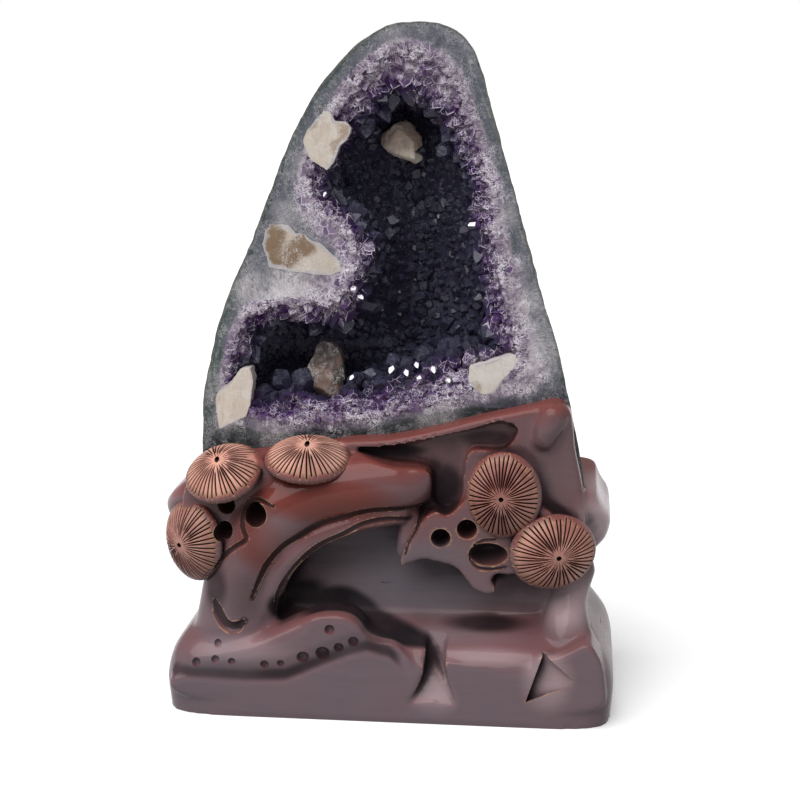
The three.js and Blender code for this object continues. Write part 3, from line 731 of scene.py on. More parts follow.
@dataclass(frozen=True)
class PaleFloor:
    """The plain floor's matt white."""

    name: str = "pale_floor"

    def material(self) -> bpy.types.Material:
        """Builds the finish."""
        g = Graph(self.name)
        soft = g.noise(g.place(), 3.0)
        colour = g.mix(g.spread(soft, 0.3, 0.7), (0.86, 0.86, 0.87), (0.89, 0.89, 0.89))
        return g.finish(Base_Color=colour, Roughness=0.6, Emission_Color=(1, 1, 1), Emission_Strength=0.22)


class CalciteTint(Enum):
    """The calcites' colours, each as its clean and its stained colour."""

    CREAM = ((0.72, 0.64, 0.56), (0.42, 0.31, 0.23))
    TAN = ((0.86, 0.76, 0.63), (0.55, 0.42, 0.35))
    # The floor calcite, deep in the hollow: its colours darkened as painted shade, the stained one near
    # black.
    DUSK = ((0.205, 0.135, 0.11), (0.045, 0.035, 0.032))
    BROWN = ((0.64, 0.56, 0.49), (0.25, 0.165, 0.10))
    WHITE = ((0.71, 0.67, 0.62), (0.45, 0.39, 0.32))


@dataclass
class GeodeForm:
    """The geode's form, which the shell, the crust and the stand's pocket share."""

    face_y: float = -22.0
    depth: float = 88.0
    roundness: float = 2.1
    bottom_z: float = 108.0
    cavity_depth: float = 62.0
    foot: Point = (-2.0, 190.0)
    head: Point = (12.0, 320.0)
    rind: Points = (
        (15, 398.5), (2, 396.5), (-12, 389.5), (-26, 377), (-40, 360), (-51, 342), (-60, 323), (-68, 303),
        (-75, 285), (-82, 268), (-92, 246), (-100, 224), (-106, 201), (-110, 178), (-111, 150),
        (-109, 120), (-104, 98), (-84, 84), (0, 78), (88, 84), (110, 98), (116, 122), (113, 150),
        (107, 180), (101, 206), (94, 229), (87, 253), (79, 280), (72, 305), (65, 330), (59, 350),
        (54, 369), (48, 384), (40, 392.5), (29, 397.5),
    )
    rim: Sequence[Triple] = (
        (5, 385, 0), (-12, 375, 0.02), (-26, 358, 0.07), (-38, 338, 0.13), (-46, 320, 0.19),
        (-48, 304, 0.25), (-40, 291, 0.3), (-27, 281, 0.35), (-20, 268, 0.4), (-22, 254, 0.47),
        (-31, 244, 0.57), (-47, 240, 0.7), (-66, 239, 0.82), (-84, 231, 0.93), (-93, 212, 1),
        (-96, 192, 1), (-90, 174, 1), (-70, 168, 0.95), (-42, 168, 0.86), (-12, 171, 0.75),
        (16, 177, 0.66), (44, 187, 0.61), (70, 196, 0.57), (80, 208, 0.54), (76, 226, 0.5),
        (69, 249, 0.43), (64, 275, 0.33), (62, 298, 0.23), (57, 322, 0.13), (49, 347, 0.05),
        (39, 368, 0.01), (23, 381, 0),
    )
    # The edge inside which the crystals are painted nearly black as shade.
    dark: Points = (
        (3, 361), (-6, 353), (-18, 341), (-26, 329), (-35, 313), (-37, 303), (-26, 294), (-12, 279),
        (-9, 265), (-16, 249), (-18, 235), (-41, 226), (-66, 229), (-80, 220), (-82, 207), (-88, 198),
        (-80, 183), (-52, 187), (-7, 192), (25, 202), (48, 211), (65, 214), (60, 231), (55.5, 264),
        (51, 286.5), (49, 307), (44, 322), (36, 339), (27, 351), (16, 359),
    )
    spine: Points = ((8, 350), (10, 300), (16, 235), (8, 212), (-20, 205), (-62, 204))

    def __post_init__(self) -> None:
        """Draws the spine once, with the share of its length at each of its points."""
        line = evenly(catmull_rom(self.spine, closed=False), 400, closed=False)
        self.spine_line = line
        self.spine_share = np.linspace(0, 1, len(line))
        self.dark_loop = outline_loop(self.dark, 600)
        self.dark_tree = tree_of(self.dark_loop)

    def outside_ring(self, share: float, count: int, grow: float = 0.0) -> Array:
        """Ring of the outside, from the sawn face at 0 to the furthest point of the back at 1.

        Args:
            share: How far back the ring lies.
            count: Points on the ring.
            grow: Millimetres that the outside is moved outwards.

        Returns:
            The ring's points.
        """
        loop = outline_loop(self.rind, count)
        foot, head = np.array(self.foot), np.array(self.head)
        axis = head - foot
        t = np.clip((loop - foot) @ axis / (axis @ axis), 0, 1)[:, None]
        core = foot + t * axis
        reach = np.linalg.norm(loop - core, axis=1)[:, None]
        flat = core + (loop - core) * (1 - share) * (1 + grow / reach)
        rise = (1 - (1 - share) ** self.roundness) ** (1 / self.roundness)
        y = np.full(count, self.face_y + (self.depth + grow) * rise)
        return upright(flat, y)

    def painted_darkness(self, places: Array) -> Array:
        """How dark the crystals are painted: 0 is pale, 1 nearly black as painted shade.

        Args:
            places: Points in millimetres.

        Returns:
            One value for each point, by how far it lies inside the edge where the light fails. The
            light comes from above, so the edge sinks with the depth.
        """
        x, y, z = places.T
        depth = np.maximum(y - self.face_y, 0)
        flat = np.column_stack([x + 0.1 * depth, z + 0.2 * depth])
        away = np.array([self.dark_tree.find((*p, 0))[2] for p in flat])
        away = np.where(within(flat, self.dark_loop), away, -away)
        wave = 1.7 * np.sin(flat[:, 0] / 2.3 + 1) * np.cos(flat[:, 1] / 2.9)
        away += wave + 1.3 * np.sin(flat.sum(1) / 4.3)
        low = 0.2 * eased(208, 190, z)
        return np.minimum(0.3 + low + 0.3 * eased(-12, -1, away) + 0.4 * eased(-1.5, 4.5, away), 1)

    @staticmethod
    def recess(places: Array) -> Array:
        """Where the hollow is so deep that its crystals are painted lighter again, against the shade that the
        render gives them.
        """
        x, _, z = places.T
        low = eased(10, -20, x) * eased(224, 214, z) * eased(191, 202, z)
        return np.maximum(low, 0.33 * eased(258, 290, z))

    def by_rim(self, places: Array) -> tuple[Array, Array]:
        """How far points lie from the rim, seen from the front, and how far along it."""
        loop = outline_loop(self.rim, 1400)
        tree = tree_of(loop)
        length = float(np.linalg.norm(np.diff(loop[:, :2], axis=0), axis=1).sum())
        nearest = np.array([tree.find((x, z, 0))[1:] for x, _, z in places])
        return nearest[:, 1], nearest[:, 0] / len(loop) * length

    def cavity_ring(self, share: float, count: int) -> Array:
        """Ring of the hollow's wall, from the rim at 0 to the spine at 1."""
        loop = outline_loop(self.rim, count)
        along = np.clip(loop[:, 2], 0, 1)
        core = np.stack([np.interp(along, self.spine_share, self.spine_line[:, k]) for k in (0, 1)], axis=1)
        flat = loop[:, :2] + (core - loop[:, :2]) * share
        y = self.face_y + self.cavity_depth * math.sin(math.pi / 2 * share**0.85)
        return upright(flat, y)


@dataclass
class GeodeShell:
    """The rind of basalt with the agate inside it: sawn face, rough back, level base."""

    form: GeodeForm
    around: int = 400
    rim_around: int = 300
    face_grain: float = 1.7
    skin: float = 1.3
    frosts: Sequence[Disc] = (
        (-103, 188, 11, 0.4), (-60, 247, 15, 1.0), (-44, 266, 9, 0.6), (-80, 246, 11, 0.9),
        (-58, 290, 9, 0.5), (-97, 168, 8, 0.6), (-70, 162, 12, 0.35), (88, 214, 14, 0.6),
        (84, 240, 10, 0.45), (70, 290, 7, 0.4), (2, 391, 8, 0.3),
        (30, 170, 14, 0.35), (-49, 318, 6, 0.5),
    )
    violets: Sequence[Disc] = (
        (-45, 300, 9, 1.0), (-34, 286, 8, 1.0), (-20, 270, 9, 1.0), (-24, 250, 9, 0.9), (-40, 238, 8, 0.8),
        (-80, 236, 8, 0.8), (-95, 214, 7, 0.7), (60, 310, 6, 0.7), (68, 262, 6, 0.7), (78, 222, 7, 0.6),
        (-20, 368, 8, 0.6), (20, 383, 9, 0.5),
    )

    def model(self) -> Piece:
        """Models the shell as one closed skin and notes what its material needs.

        Returns:
            The shell.
        """
        outside_rings, wall_rings = self._outside(), self._wall()
        outside = self._skin("outside", outside_rings)
        wall = self._skin("wall", wall_rings)
        face = self._face(outside_rings[0], wall_rings[0])
        for piece, sawn, lining in ((outside, 0, 0), (face, 1, 0), (wall, 0, 1)):
            count = len(piece.data.vertices)
            Bench.note(piece, "sawn", np.full(count, sawn))
            Bench.note(piece, "lining", np.full(count, lining))
        shell = Bench.join("geode_shell_stone", [face, outside, wall])
        Bench.clean(shell)
        self._saw_base(shell)
        self._note(shell)
        return shell

    def _outside(self) -> list[Array]:
        """Rings of the rough outside, from the sawn face backwards."""
        shares = np.concatenate([[0, 0.012], 1 - (1 - np.linspace(0.03, 0.975, 46)) ** 1.25])
        rings = [self.form.outside_ring(float(s), self.around) for s in shares]
        core = np.array([5.0, 255.0])
        for s, ring in zip(shares, rings):
            out = ring[:, (0, 2)] - core
            out /= np.linalg.norm(out, axis=1)[:, None]
            hold = min(1.0, 0.35 + s * 12)
            lump = 2.2 * roughness_at(ring, 26, 3) + self.skin * roughness_at(ring, 7, 4, 4.0)
            lump = np.minimum(lump, 1.4) * hold
            ring[:, 0] += out[:, 0] * lump
            ring[:, 2] += out[:, 1] * lump
            ring[:, 1] += lump * (0.6 if s > 0.02 else 0.0)
        return rings

    def _wall(self) -> list[Array]:
        """Rings of the wall behind the crystals, from the rim inwards."""
        shares = np.linspace(0, 0.9, 26) ** 1.2
        return [self.form.cavity_ring(float(s), self.rim_around) for s in shares]

    @staticmethod
    def _skin(name: str, rings: Sequence[Array]) -> Piece:
        """A skin through rings, open at the first and closed with triangles at the last."""
        skin = Bench.loft(name, rings[::-1], caps=False)
        with Bench.edit(skin):
            Bench.pick(skin, len(rings[-1]))
            bpy.ops.mesh.fill(use_beauty=True)
        return skin

    def _face(self, outer: Array, inner: Array) -> Piece:
        """The sawn face, as even triangles between the outer edge and the cavity's rim."""
        step = self.face_grain
        low, high = outer.min(0), outer.max(0)
        rng = np.random.default_rng(11)
        xs = np.arange(low[0], high[0], step)
        zs = np.arange(low[2], high[2], step * 0.87)
        grid = np.array([(x + (i % 2) * step / 2, z) for i, z in enumerate(zs) for x in xs])
        grid += rng.uniform(-0.25, 0.25, grid.shape) * step
        edges = KDTree(len(outer) + len(inner))
        for i, p in enumerate(np.vstack([outer, inner])):
            edges.insert((p[0], 0, p[2]), i)
        edges.balance()
        keep = [p for p in grid if edges.find((p[0], 0, p[1]))[2] > step * 0.7]
        loops = [outer[:, (0, 2)], inner[:, (0, 2)]]
        points = [Vector(p) for p in np.vstack([*loops, np.array(keep)])]
        rings, start = [], 0
        for loop in loops:
            rings.append(list(range(start, start + len(loop))))
            start += len(loop)
        sides = [(r[k], r[(k + 1) % len(r)]) for r in rings for k in range(len(r))]
        spots, _, faces, *_ = delaunay_2d_cdt(points, sides, [], 0, 1e-4)
        hull, hole = loops
        middle = np.array([np.mean([spots[i] for i in f], axis=0) for f in faces])
        inside = within(middle, hull) & ~within(middle, hole)
        places = np.array([(x, self.form.face_y, z) for x, z in spots])
        face = Bench.mesh("face", places, [f for f, kept in zip(faces, inside) if kept])
        with Bench.edit(face):
            bpy.ops.mesh.delete_loose(use_verts=True, use_edges=True, use_faces=False)
        return face

    def _saw_base(self, shell: Piece) -> None:
        """Saws the shell off level where it stands in the pocket."""
        floor = (0, 0, self.form.bottom_z * MM)
        with Bench.edit(shell):
            bpy.ops.mesh.bisect(plane_co=floor, plane_no=(0, 0, 1), use_fill=True, clear_inner=True)

    def _note(self, shell: Piece) -> None:
        """Notes each point's distance to the basalt and its place along the rim.

        The distance from the rim is a share of the quartz's width, which grows with the wall's own.
        """
        places = Bench.places(shell)
        rind_tree = tree_of(outline_loop(self.form.rind, 1600))
        x, _, z = places.T
        to_edge = np.array([rind_tree.find((*p, 0))[2] for p in places[:, (0, 2)]])
        from_rim, along = self.form.by_rim(places)
        right = eased(-20, 40, x)
        basalt = (2.6 - 1.5 * right) + (4.5 - 3.3 * right) * eased(270, 175, z)
        low = z - 0.115 * x - 3 * np.sin(x / 17)
        basalt = basalt + 90 * eased(174, 171, low)
        wide = eased(45, 60, x) * eased(345, 320, z)
        quartz = np.clip((0.27 + 0.22 * wide) * (to_edge + from_rim), 2.5, 13)
        quartz = quartz * (1 - 0.6 * eased(178, 168, z - 0.14 * x))
        Bench.note(shell, "low", eased(182, 174, low))
        for name, spots in (("frost", self.frosts), ("violet", self.violets)):
            found = np.zeros(len(places))
            for across, up, radius, strength in spots:
                away = np.hypot(x - across, z - up) / radius
                found = np.maximum(found, strength * eased(1.4, 0.3, away))
            Bench.note(shell, name, found)
        Bench.note(shell, "depth_in_wall", from_rim)
        Bench.note(shell, "from_rind", (to_edge - basalt) / np.clip(basalt, 1.2, 3.0))
        Bench.note(shell, "from_rim", from_rim / quartz)
        Bench.note(shell, "along", along)


@dataclass
class CrystalTemplate:
    """One quartz crystal: a six-sided prism cut to a point by three large and three small faces."""

    seed: int
    length: float = 3.4

    def model(self) -> tuple[Array, list[list[int]]]:
        """Cuts the crystal from a prism of radius 1.

        Returns:
            Its points, with the tip up and its shoulders about 1 above the origin, and its faces.
        """
        rng = random.Random(self.seed)
        bpy.ops.object.select_all(action="DESELECT")
        bpy.ops.mesh.primitive_cylinder_add(vertices=6, radius=1.0, depth=self.length, location=(0, 0, 0))
        piece = bpy.context.object
        out, up = math.cos(TIP_LEAN), math.sin(TIP_LEAN)
        with Bench.edit(piece):
            for k in range(6):
                turn = math.radians(60 * k + 30)
                outward = Vector((math.cos(turn) * out, math.sin(turn) * out, up))
                reach = rng.uniform(0.88, 1.0) if k % 2 else rng.uniform(0.98, 1.22)
                Bench.chop(outward * reach, outward)
        Bench.clean(piece, gap=20)
        points = np.array([v.co for v in piece.data.vertices])
        faces = [list(f.vertices) for f in piece.data.polygons]
        bpy.data.objects.remove(piece)
        return points, faces


class Cluster:
    """Crystals placed one by one, which become one mesh."""

    def __init__(
        self, form: GeodeForm, blocks: Sequence["CalciteCrystal"], glossy: float, templates: int = 9
    ) -> None:
        """Cuts the templates that every crystal is a copy of.

        Args:
            form: The geode's form.
            blocks: The calcites, which the crystals keep clear of.
            glossy: The share of crystals with clean, bright faces.
            templates: How many different crystals there are.
        """
        self.form = form
        self.blocks = [(outline_loop(b.outline, 40), b.back) for b in blocks]
        self.templates = [CrystalTemplate(seed).model() for seed in range(templates)]
        self.points: list[Array] = []
        self.faces: list[list[int]] = []
        self.shifts: list[Array] = []
        self.gloss: list[Array] = []
        self.hearts: list[float] = []
        self.total = 0
        self.glossy = glossy

    def add(
        self,
        spot: Vector,
        way: Vector,
        radius: float,
        tall: float,
        lift: float,
        rng: random.Random,
        turn: Matrix | None = None,
        lighter: float = 0.0,
        flash: float = 0.0,
    ) -> None:
        """Adds a copy of a template, sawn off where it stands in front of the face.

        Args:
            spot: A point of the wall.
            way: Where the crystal points.
            radius: Its radius.
            tall: How steep its point is against the template's.
            lift: How far its shoulders stand off the wall.
            rng: Draws its template, turn, gloss and tone.
            turn: How it is turned, where that isn't drawn.
            lighter: How much paler it is than its place.
            flash: How white the face turned to the light is painted, as a painted glint.
        """
        if turn is None:
            turn = way.to_track_quat("Z", "Y").to_matrix() @ Matrix.Rotation(rng.uniform(0, math.tau), 3, "Z")
        shape, sides = self.templates[rng.randrange(len(self.templates))]
        sized = shape * (radius, radius, radius * tall)
        sized[:, 2] = np.where(shape[:, 2] < -0.5, -lift - 1.0, sized[:, 2])
        placed = sized @ np.array(turn).T + np.array(spot + way * lift)
        shift = rng.gauss(0, 0.07) - lighter
        gloss = 1.0 if rng.random() < self.glossy else rng.uniform(0, 0.25)
        level = self.form.face_y - rng.uniform(0.06, 0.5)
        if self._blocked(placed) or placed[:, 1].max() < level + 1.5:
            return
        placed, sides, topped = self._saw(placed, sides, level)
        # How deep in the painted shade it lies; the paler crystals get pale edges, painted as highlights.
        dark = float(self.form.painted_darkness(placed.mean(0)[None])[0])
        # The face turned nearest to the lamp's mirror way is painted white: a painted glint.
        if flash:
            ways = [np.cross(placed[s[1]] - placed[s[0]], placed[s[2]] - placed[s[1]]) for s in sides]
            towards = [w @ np.array(FLASH) / np.linalg.norm(w) for w in ways]
            white = int(np.argmax(towards))
            corners = [[1.0 + flash * (n == white)] * len(s) for n, s in enumerate(sides)]
        elif dark < 0.8:
            placed, sides, corners = self._outlined(placed, sides, topped)
            gloss = max(gloss, rng.uniform(0.5, 1.0))
        else:
            corners = [[1.0] * len(s) for s in sides]
        self.points.append(placed)
        self.faces += [[i + self.total for i in side] for side in sides]
        self.hearts += [value for corner in corners for value in corner]
        self.shifts.append(np.full(len(placed), shift))
        self.gloss.append(np.full(len(placed), gloss))
        self.total += len(placed)

    @staticmethod
    def _saw(points: Array, sides: list[list[int]], level: float) -> tuple[Array, list[list[int]], bool]:
        """Saws a crystal off along a plane across Y.

        Args:
            points: Its points.
            sides: Its faces.
            level: Where the plane is.

        Returns:
            The points behind the plane and on it, the faces between them, and whether the last is sawn.
        """
        front = points[:, 1] < level
        rows = list(points)
        cuts: dict[tuple[int, int], int] = {}
        left = []
        for side in sides:
            ring = []
            for a, b in zip(side, side[1:] + side[:1]):
                if not front[a]:
                    ring.append(a)
                if front[a] != front[b]:
                    key = (min(a, b), max(a, b))
                    if key not in cuts:
                        share = (level - points[a][1]) / (points[b][1] - points[a][1])
                        cuts[key] = len(rows)
                        rows.append(points[a] + share * (points[b] - points[a]))
                    ring.append(cuts[key])
            if len(ring) > 2:
                left.append(ring)
        if len(cuts) > 2:
            middle = np.mean([rows[i] for i in cuts.values()], axis=0)
            left.append(sorted(cuts.values(), key=lambda i: math.atan2(*(rows[i] - middle)[[2, 0]])))
        used = sorted({i for ring in left for i in ring})
        place = {old: new for new, old in enumerate(used)}
        return np.array([rows[i] for i in used]), [[place[i] for i in ring] for ring in left], len(cuts) > 2

    @staticmethod
    def _outlined(
        points: Array, sides: list[list[int]], topped: bool
    ) -> tuple[Array, list[list[int]], list[list[float]]]:
        """Splits each face about its middle; corners get 0 at an edge, 1 in the middle, -1 where sawn."""
        rows = list(points)
        split, corners = [], []
        if topped:
            split.append(sides[-1])
            corners.append([-1.0] * len(sides[-1]))
        for side in sides[: len(sides) - topped]:
            rows.append(np.mean([points[i] for i in side], axis=0))
            split += [[a, b, len(rows) - 1] for a, b in zip(side, side[1:] + side[:1])]
            corners += [[0.0, 0.0, 1.0]] * len(side)
        return np.array(rows), split, corners

    def _blocked(self, placed: Array) -> bool:
        """Whether a crystal would stand in front of a calcite or in it."""
        return any(
            placed[:, 1].min() < back and within(placed[:, (0, 2)], loop).mean() > 0.3
            for loop, back in self.blocks
        )

    def model(self, name: str) -> Piece:
        """Makes the mesh and notes its tones."""
        places = np.vstack(self.points)
        grown = Bench.mesh(name, places, self.faces)
        # Painted shade by depth in the hollow, painted lighter again where it is deepest.
        dark = self.form.painted_darkness(places)
        tone = np.clip(dark + np.concatenate(self.shifts), 0, 0.9) + 0.1 * dark * self.form.recess(places)
        Bench.note(grown, "tone", tone)
        from_rim, along = self.form.by_rim(places)
        Bench.note(grown, "along", along)
        Bench.note(grown, "depth_in_wall", -from_rim)
        Bench.note(grown, "gloss", np.concatenate(self.gloss))
        Bench.note(grown, "heart", np.array(self.hearts), domain="CORNER")
        return grown


@dataclass
class AmethystCrust:
    """The lining: a thin base on the wall with crystals grown from it, larger inwards and painted darker
    inwards as shade.
    """

    form: GeodeForm
    crystals: int = 2300
    gap: float = 0.8
    base: float = 3.0
    glossy: float = 0.12
    # Places of the painted glints: crystals with a face painted white.
    glints: Sequence[Triple] = (
        (-35.7, 301.3, 5), (50.5, 283.9, 4), (-27.9, 189.7, 6), (-20.7, 193.5, 8), (10.5, 197.1, 7),
        (19.2, 194.3, 4), (26.2, 199.2, 7), (35, 193.3, 4), (-20.4, 246.6, 5), (-23.3, 258.2, 4),
        (-17.5, 240.8, 6), (2.8, 198.7, 8), (16.3, 201.4, 9), (-36, 349, 5),
    )

    def model(self) -> Piece:
        """Models the base and grows the crystals on it.

        Returns:
            The crust, as one joined mesh.
        """
        base = self._base()
        cluster = Cluster(self.form, CALCITES, self.glossy)
        self._fringe(cluster)
        self._lining(cluster)
        log.info("crystals grown: %d", len(cluster.points))
        return Bench.join("amethyst_lining", [cluster.model("crystals"), base])

    def _rings(self, count: int, shares: Sequence[float]) -> Array:
        """Rings of the wall, as an array of rings, points and coordinates."""
        return np.array([self.form.cavity_ring(float(s), count) for s in shares])

    @staticmethod
    def _normals(rings: Array) -> Array:
        """The wall's normals, pointing into the hollow."""
        along = np.roll(rings, -1, axis=1) - np.roll(rings, 1, axis=1)
        inward = np.gradient(rings, axis=0)
        normal = np.cross(along, inward)
        normal /= np.linalg.norm(normal, axis=2)[:, :, None]
        level = eased(18, 30, rings[:, :, 1] - rings[0, :, 1])[:, :, None] * 0.6
        normal = normal * (1 - level) + level * np.array([0.0, -1.0, 0.0])
        return normal / np.linalg.norm(normal, axis=2)[:, :, None]

    def _base(self) -> Piece:
        """The base: a closed layer that follows the wall."""
        shares = np.linspace(0.015, 0.975, 26)
        wall = self._rings(200, shares)
        normals = self._normals(wall)
        back = wall + normals * self.gap
        front = wall + normals * self.base
        layer = Bench.loft("base", [*back[::-1], *front])
        with Bench.edit(layer):
            bpy.ops.mesh.quads_convert_to_tris()
        # The base painted with the crystals' painted shade.
        Bench.note(layer, "tone", np.clip(self.form.painted_darkness(Bench.places(layer)), 0.55, 0.88))
        for name in ("gloss", "along", "depth_in_wall"):
            Bench.note(layer, name, np.zeros(len(layer.data.vertices)))
        Bench.note(layer, "heart", np.ones(len(layer.data.loops)), domain="CORNER")
        return layer

    def _fringe(self, cluster: Cluster) -> None:
        """Crystals round the rim that point out of the hollow, up to the edge of the painted shade.

        Those next to the rim are sawn flush with the face; the others stand behind it.
        """
        rng = random.Random(77)
        count, deepest, steps = 900, 0.25, 25
        walls = self._rings(count, np.linspace(0, deepest, steps + 1))
        for row in np.linspace(0.0, 1.12, 8):
            at = rng.uniform(0, 4)
            while at < count:
                index = int(at)
                x, _, z = walls[0][index]
                near, _, reach = self.form.dark_tree.find((x, z, 0))
                inwards = (near - Vector((x, z, 0))) / reach
                radius = rng.uniform(1.8, 3.2) + row * rng.uniform(1.0, 3.8)
                bulge = eased(10, -15, x) * eased(228, 240, z) * eased(312, 296, z)
                radius *= 1 + 0.3 * float(bulge + eased(345, 365, z))
                inset = min(reach, 24) * row + rng.gauss(0, 1.2)
                flush = 0.2 + 0.12 * float(eased(195, 225, z))
                behind = -1.0 if row < flush else 0.6 + 5.5 * row**1.6 + rng.uniform(0, 2.5)
                tip = Vector((x + inwards.x * inset, self.form.face_y + behind, z + inwards.y * inset))
                share = min(deepest, max(0.0, 0.012 * inset))
                spot = Vector(walls[round(share / deepest * steps)][index])
                spot.y = max(spot.y, tip.y + 3.0)
                way = tip - spot
                length = way.length
                way = way.normalized() + Vector([rng.gauss(0, 0.3) for _ in range(3)])
                tall = rng.uniform(0.9, 1.4)
                cluster.add(spot, way.normalized(), radius, tall, length - 1.2 * radius * tall, rng)
                at += radius * rng.uniform(0.8, 1.3) * count / 840

    def _lining(self, cluster: Cluster) -> None:
        """Crystals at scattered places on the wall."""
        rng = random.Random(2026)
        around, deep = 360, 60
        shares = np.linspace(0.06, 0.985, deep)
        wall = self._rings(around, shares)
        normals = self._normals(wall)
        cell = np.linalg.norm(np.roll(wall, -1, axis=1) - wall, axis=2)
        cell = cell * np.linalg.norm(np.gradient(wall, axis=0), axis=2)
        chance = (cell / cell.sum()).ravel()
        seeds = np.random.default_rng(404).choice(len(chance), size=len(chance) - 1, replace=False, p=chance)
        taken: list[tuple[Vector, float]] = []
        for index in seeds:
            row, column = divmod(int(index), around)
            spot = Vector(wall[row, column])
            radius = rng.uniform(2.0, 3.4) if rng.random() < 0.7 else rng.uniform(3.4, 5.4)
            if any((spot - p).length < 0.66 * (radius + r) for p, r in taken):
                continue
            taken.append((spot, radius))
            way = Vector(normals[row, column]) + Vector([rng.gauss(0, 0.3) for _ in range(3)])
            lift = self.base * 0.5 + radius * rng.uniform(-0.3, 0.35)
            tall = rng.uniform(0.85, 1.3)
            # A few crystals turned to the light with a face painted partly white: dim painted glints.
            if rng.random() < 0.035 and spot.x > -20 and spot.z > 215:
                turn = self._lit_turn(rng, 0.12)
                axis, gloss = turn @ Vector((0, 0, 1)), rng.uniform(0.2, 0.5)
                cluster.add(spot, axis, 0.7 * radius, 1.2, lift, rng, turn, 0.0, gloss)
            else:
                cluster.add(spot, way.normalized(), radius, tall, lift, rng)
            if len(taken) >= self.crystals:
                break
        self._spine(cluster, rng)
        self._glints(cluster, rng)

    def _spine(self, cluster: Cluster, rng: random.Random) -> None:
        """Crystals in the fold where the wall's two sides meet."""
        spine = self.form.cavity_ring(0.999, 300)
        for x, y, z in spine[rng.randrange(2) :: 3]:
            way = Vector((rng.gauss(0, 0.35), -1.0, rng.gauss(0, 0.35))).normalized()
            radius = rng.uniform(2.6, 4.6)
            spot = Vector((x + rng.gauss(0, 1.2), y - 1.0, z + rng.gauss(0, 1.2)))
            cluster.add(spot, way, radius, rng.uniform(0.85, 1.2), 2.0, rng)

    def _glints(self, cluster: Cluster, rng: random.Random) -> None:
        """Crystals with a face turned to the light and painted white: painted glints."""
        for x, z, depth in self.glints:
            turn = self._lit_turn(rng, 0.0)
            spot = Vector((x, self.form.face_y + depth, z))
            cluster.add(spot, turn @ Vector((0, 0, 1)), rng.uniform(1.5, 3.0), 1.5, 0.6, rng, turn, 0.2, 1.0)

    @staticmethod
    def _lit_turn(rng: random.Random, off: float) -> Matrix:
        """How a crystal is turned so that a face of its tip mirrors the light, as exactly as asked."""
        flash = (Vector(FLASH) + Vector([rng.gauss(0, off) for _ in range(3)])).normalized()
        tip_face = Vector((0, math.cos(TIP_LEAN), math.sin(TIP_LEAN)))
        side = tip_face.rotation_difference(flash).to_matrix()
        turns = [Matrix.Rotation(rng.uniform(0, math.tau), 3, flash) @ side for _ in range(6)]
        return min(turns, key=lambda t: (t @ Vector((0, 0, 1))).y)


@dataclass
class CalciteCrystal:
    """One calcite: a block with an angular outline, chipped faces and a sugary skin."""

    node: str
    tint: CalciteTint
    outline: Points
    front: float
    back: float
    seed: int
    stains: Sequence[Triple] = ()
    chips: int = 9
    sawn: bool = False
    soft_edge: float = 0.0

    def model(self) -> Piece:
        """Extrudes the outline, chips its edges off and roughens it.

        Returns:
            The crystal, with its stains noted.
        """
        rng = random.Random(self.seed)
        flat = np.array(self.outline)
        middle = flat.mean(0)
        steps = [(self.back, 0.7), (0.6 * self.back + 0.4 * self.front, 0.97), (self.front + 1.5, 1.0)]
        steps.append((self.front, 0.97 if self.sawn else 0.86))
        rings = []
        for y, share in steps:
            ring = middle + (flat - middle) * share
            rings.append(upright(ring, y))
        piece = Bench.loft(self.node + "_stone", rings)
        size = np.ptp(flat, axis=0).max() / 2
        with Bench.edit(piece):
            for _ in range(0 if self.sawn else self.chips):
                turn = rng.uniform(0, math.tau)
                lean = rng.uniform(0.45, 1.2)
                reach = math.cos(lean)
                way = Vector((math.cos(turn) * reach, -math.sin(lean), math.sin(turn) * reach))
                edge = max(way @ Vector(p) for p in np.vstack(rings))
                Bench.chop(way * (edge - size * rng.uniform(0.12, 0.3)) * MM, way)
        Bench.modify(piece, "REMESH", mode="VOXEL", voxel_size=0.6 * MM)
        places = Bench.places(piece)
        heart = np.array([middle[0], (self.front + self.back) / 2, middle[1]])
        out = places - heart
        out /= np.linalg.norm(out, axis=1)[:, None]
        rough = 0.5 * roughness_at(places, 9, 4, self.seed) + 0.38 * roughness_at(places, 2.4, 4, self.seed)
        places += out * rough[:, None]
        if self.sawn:
            places[:, 1] = np.where(places[:, 1] < self.front + 1.6, self.front, places[:, 1])
        Bench.put(piece, places)
        stain = np.zeros(len(places))
        for x, z, radius in self.stains:
            away = np.hypot(places[:, 0] - x, places[:, 2] - z)
            stain = np.maximum(stain, eased(1.3 * radius, 0.4 * radius, away))
        Bench.note(piece, "stain", stain)
        margin = np.ones(len(places))
        if self.soft_edge:
            tree = tree_of(outline_loop(self.outline, 300))
            margin = np.array([tree.find((p[0], p[2], 0))[2] for p in places]) / self.soft_edge
        Bench.note(piece, "margin", margin)
        return piece


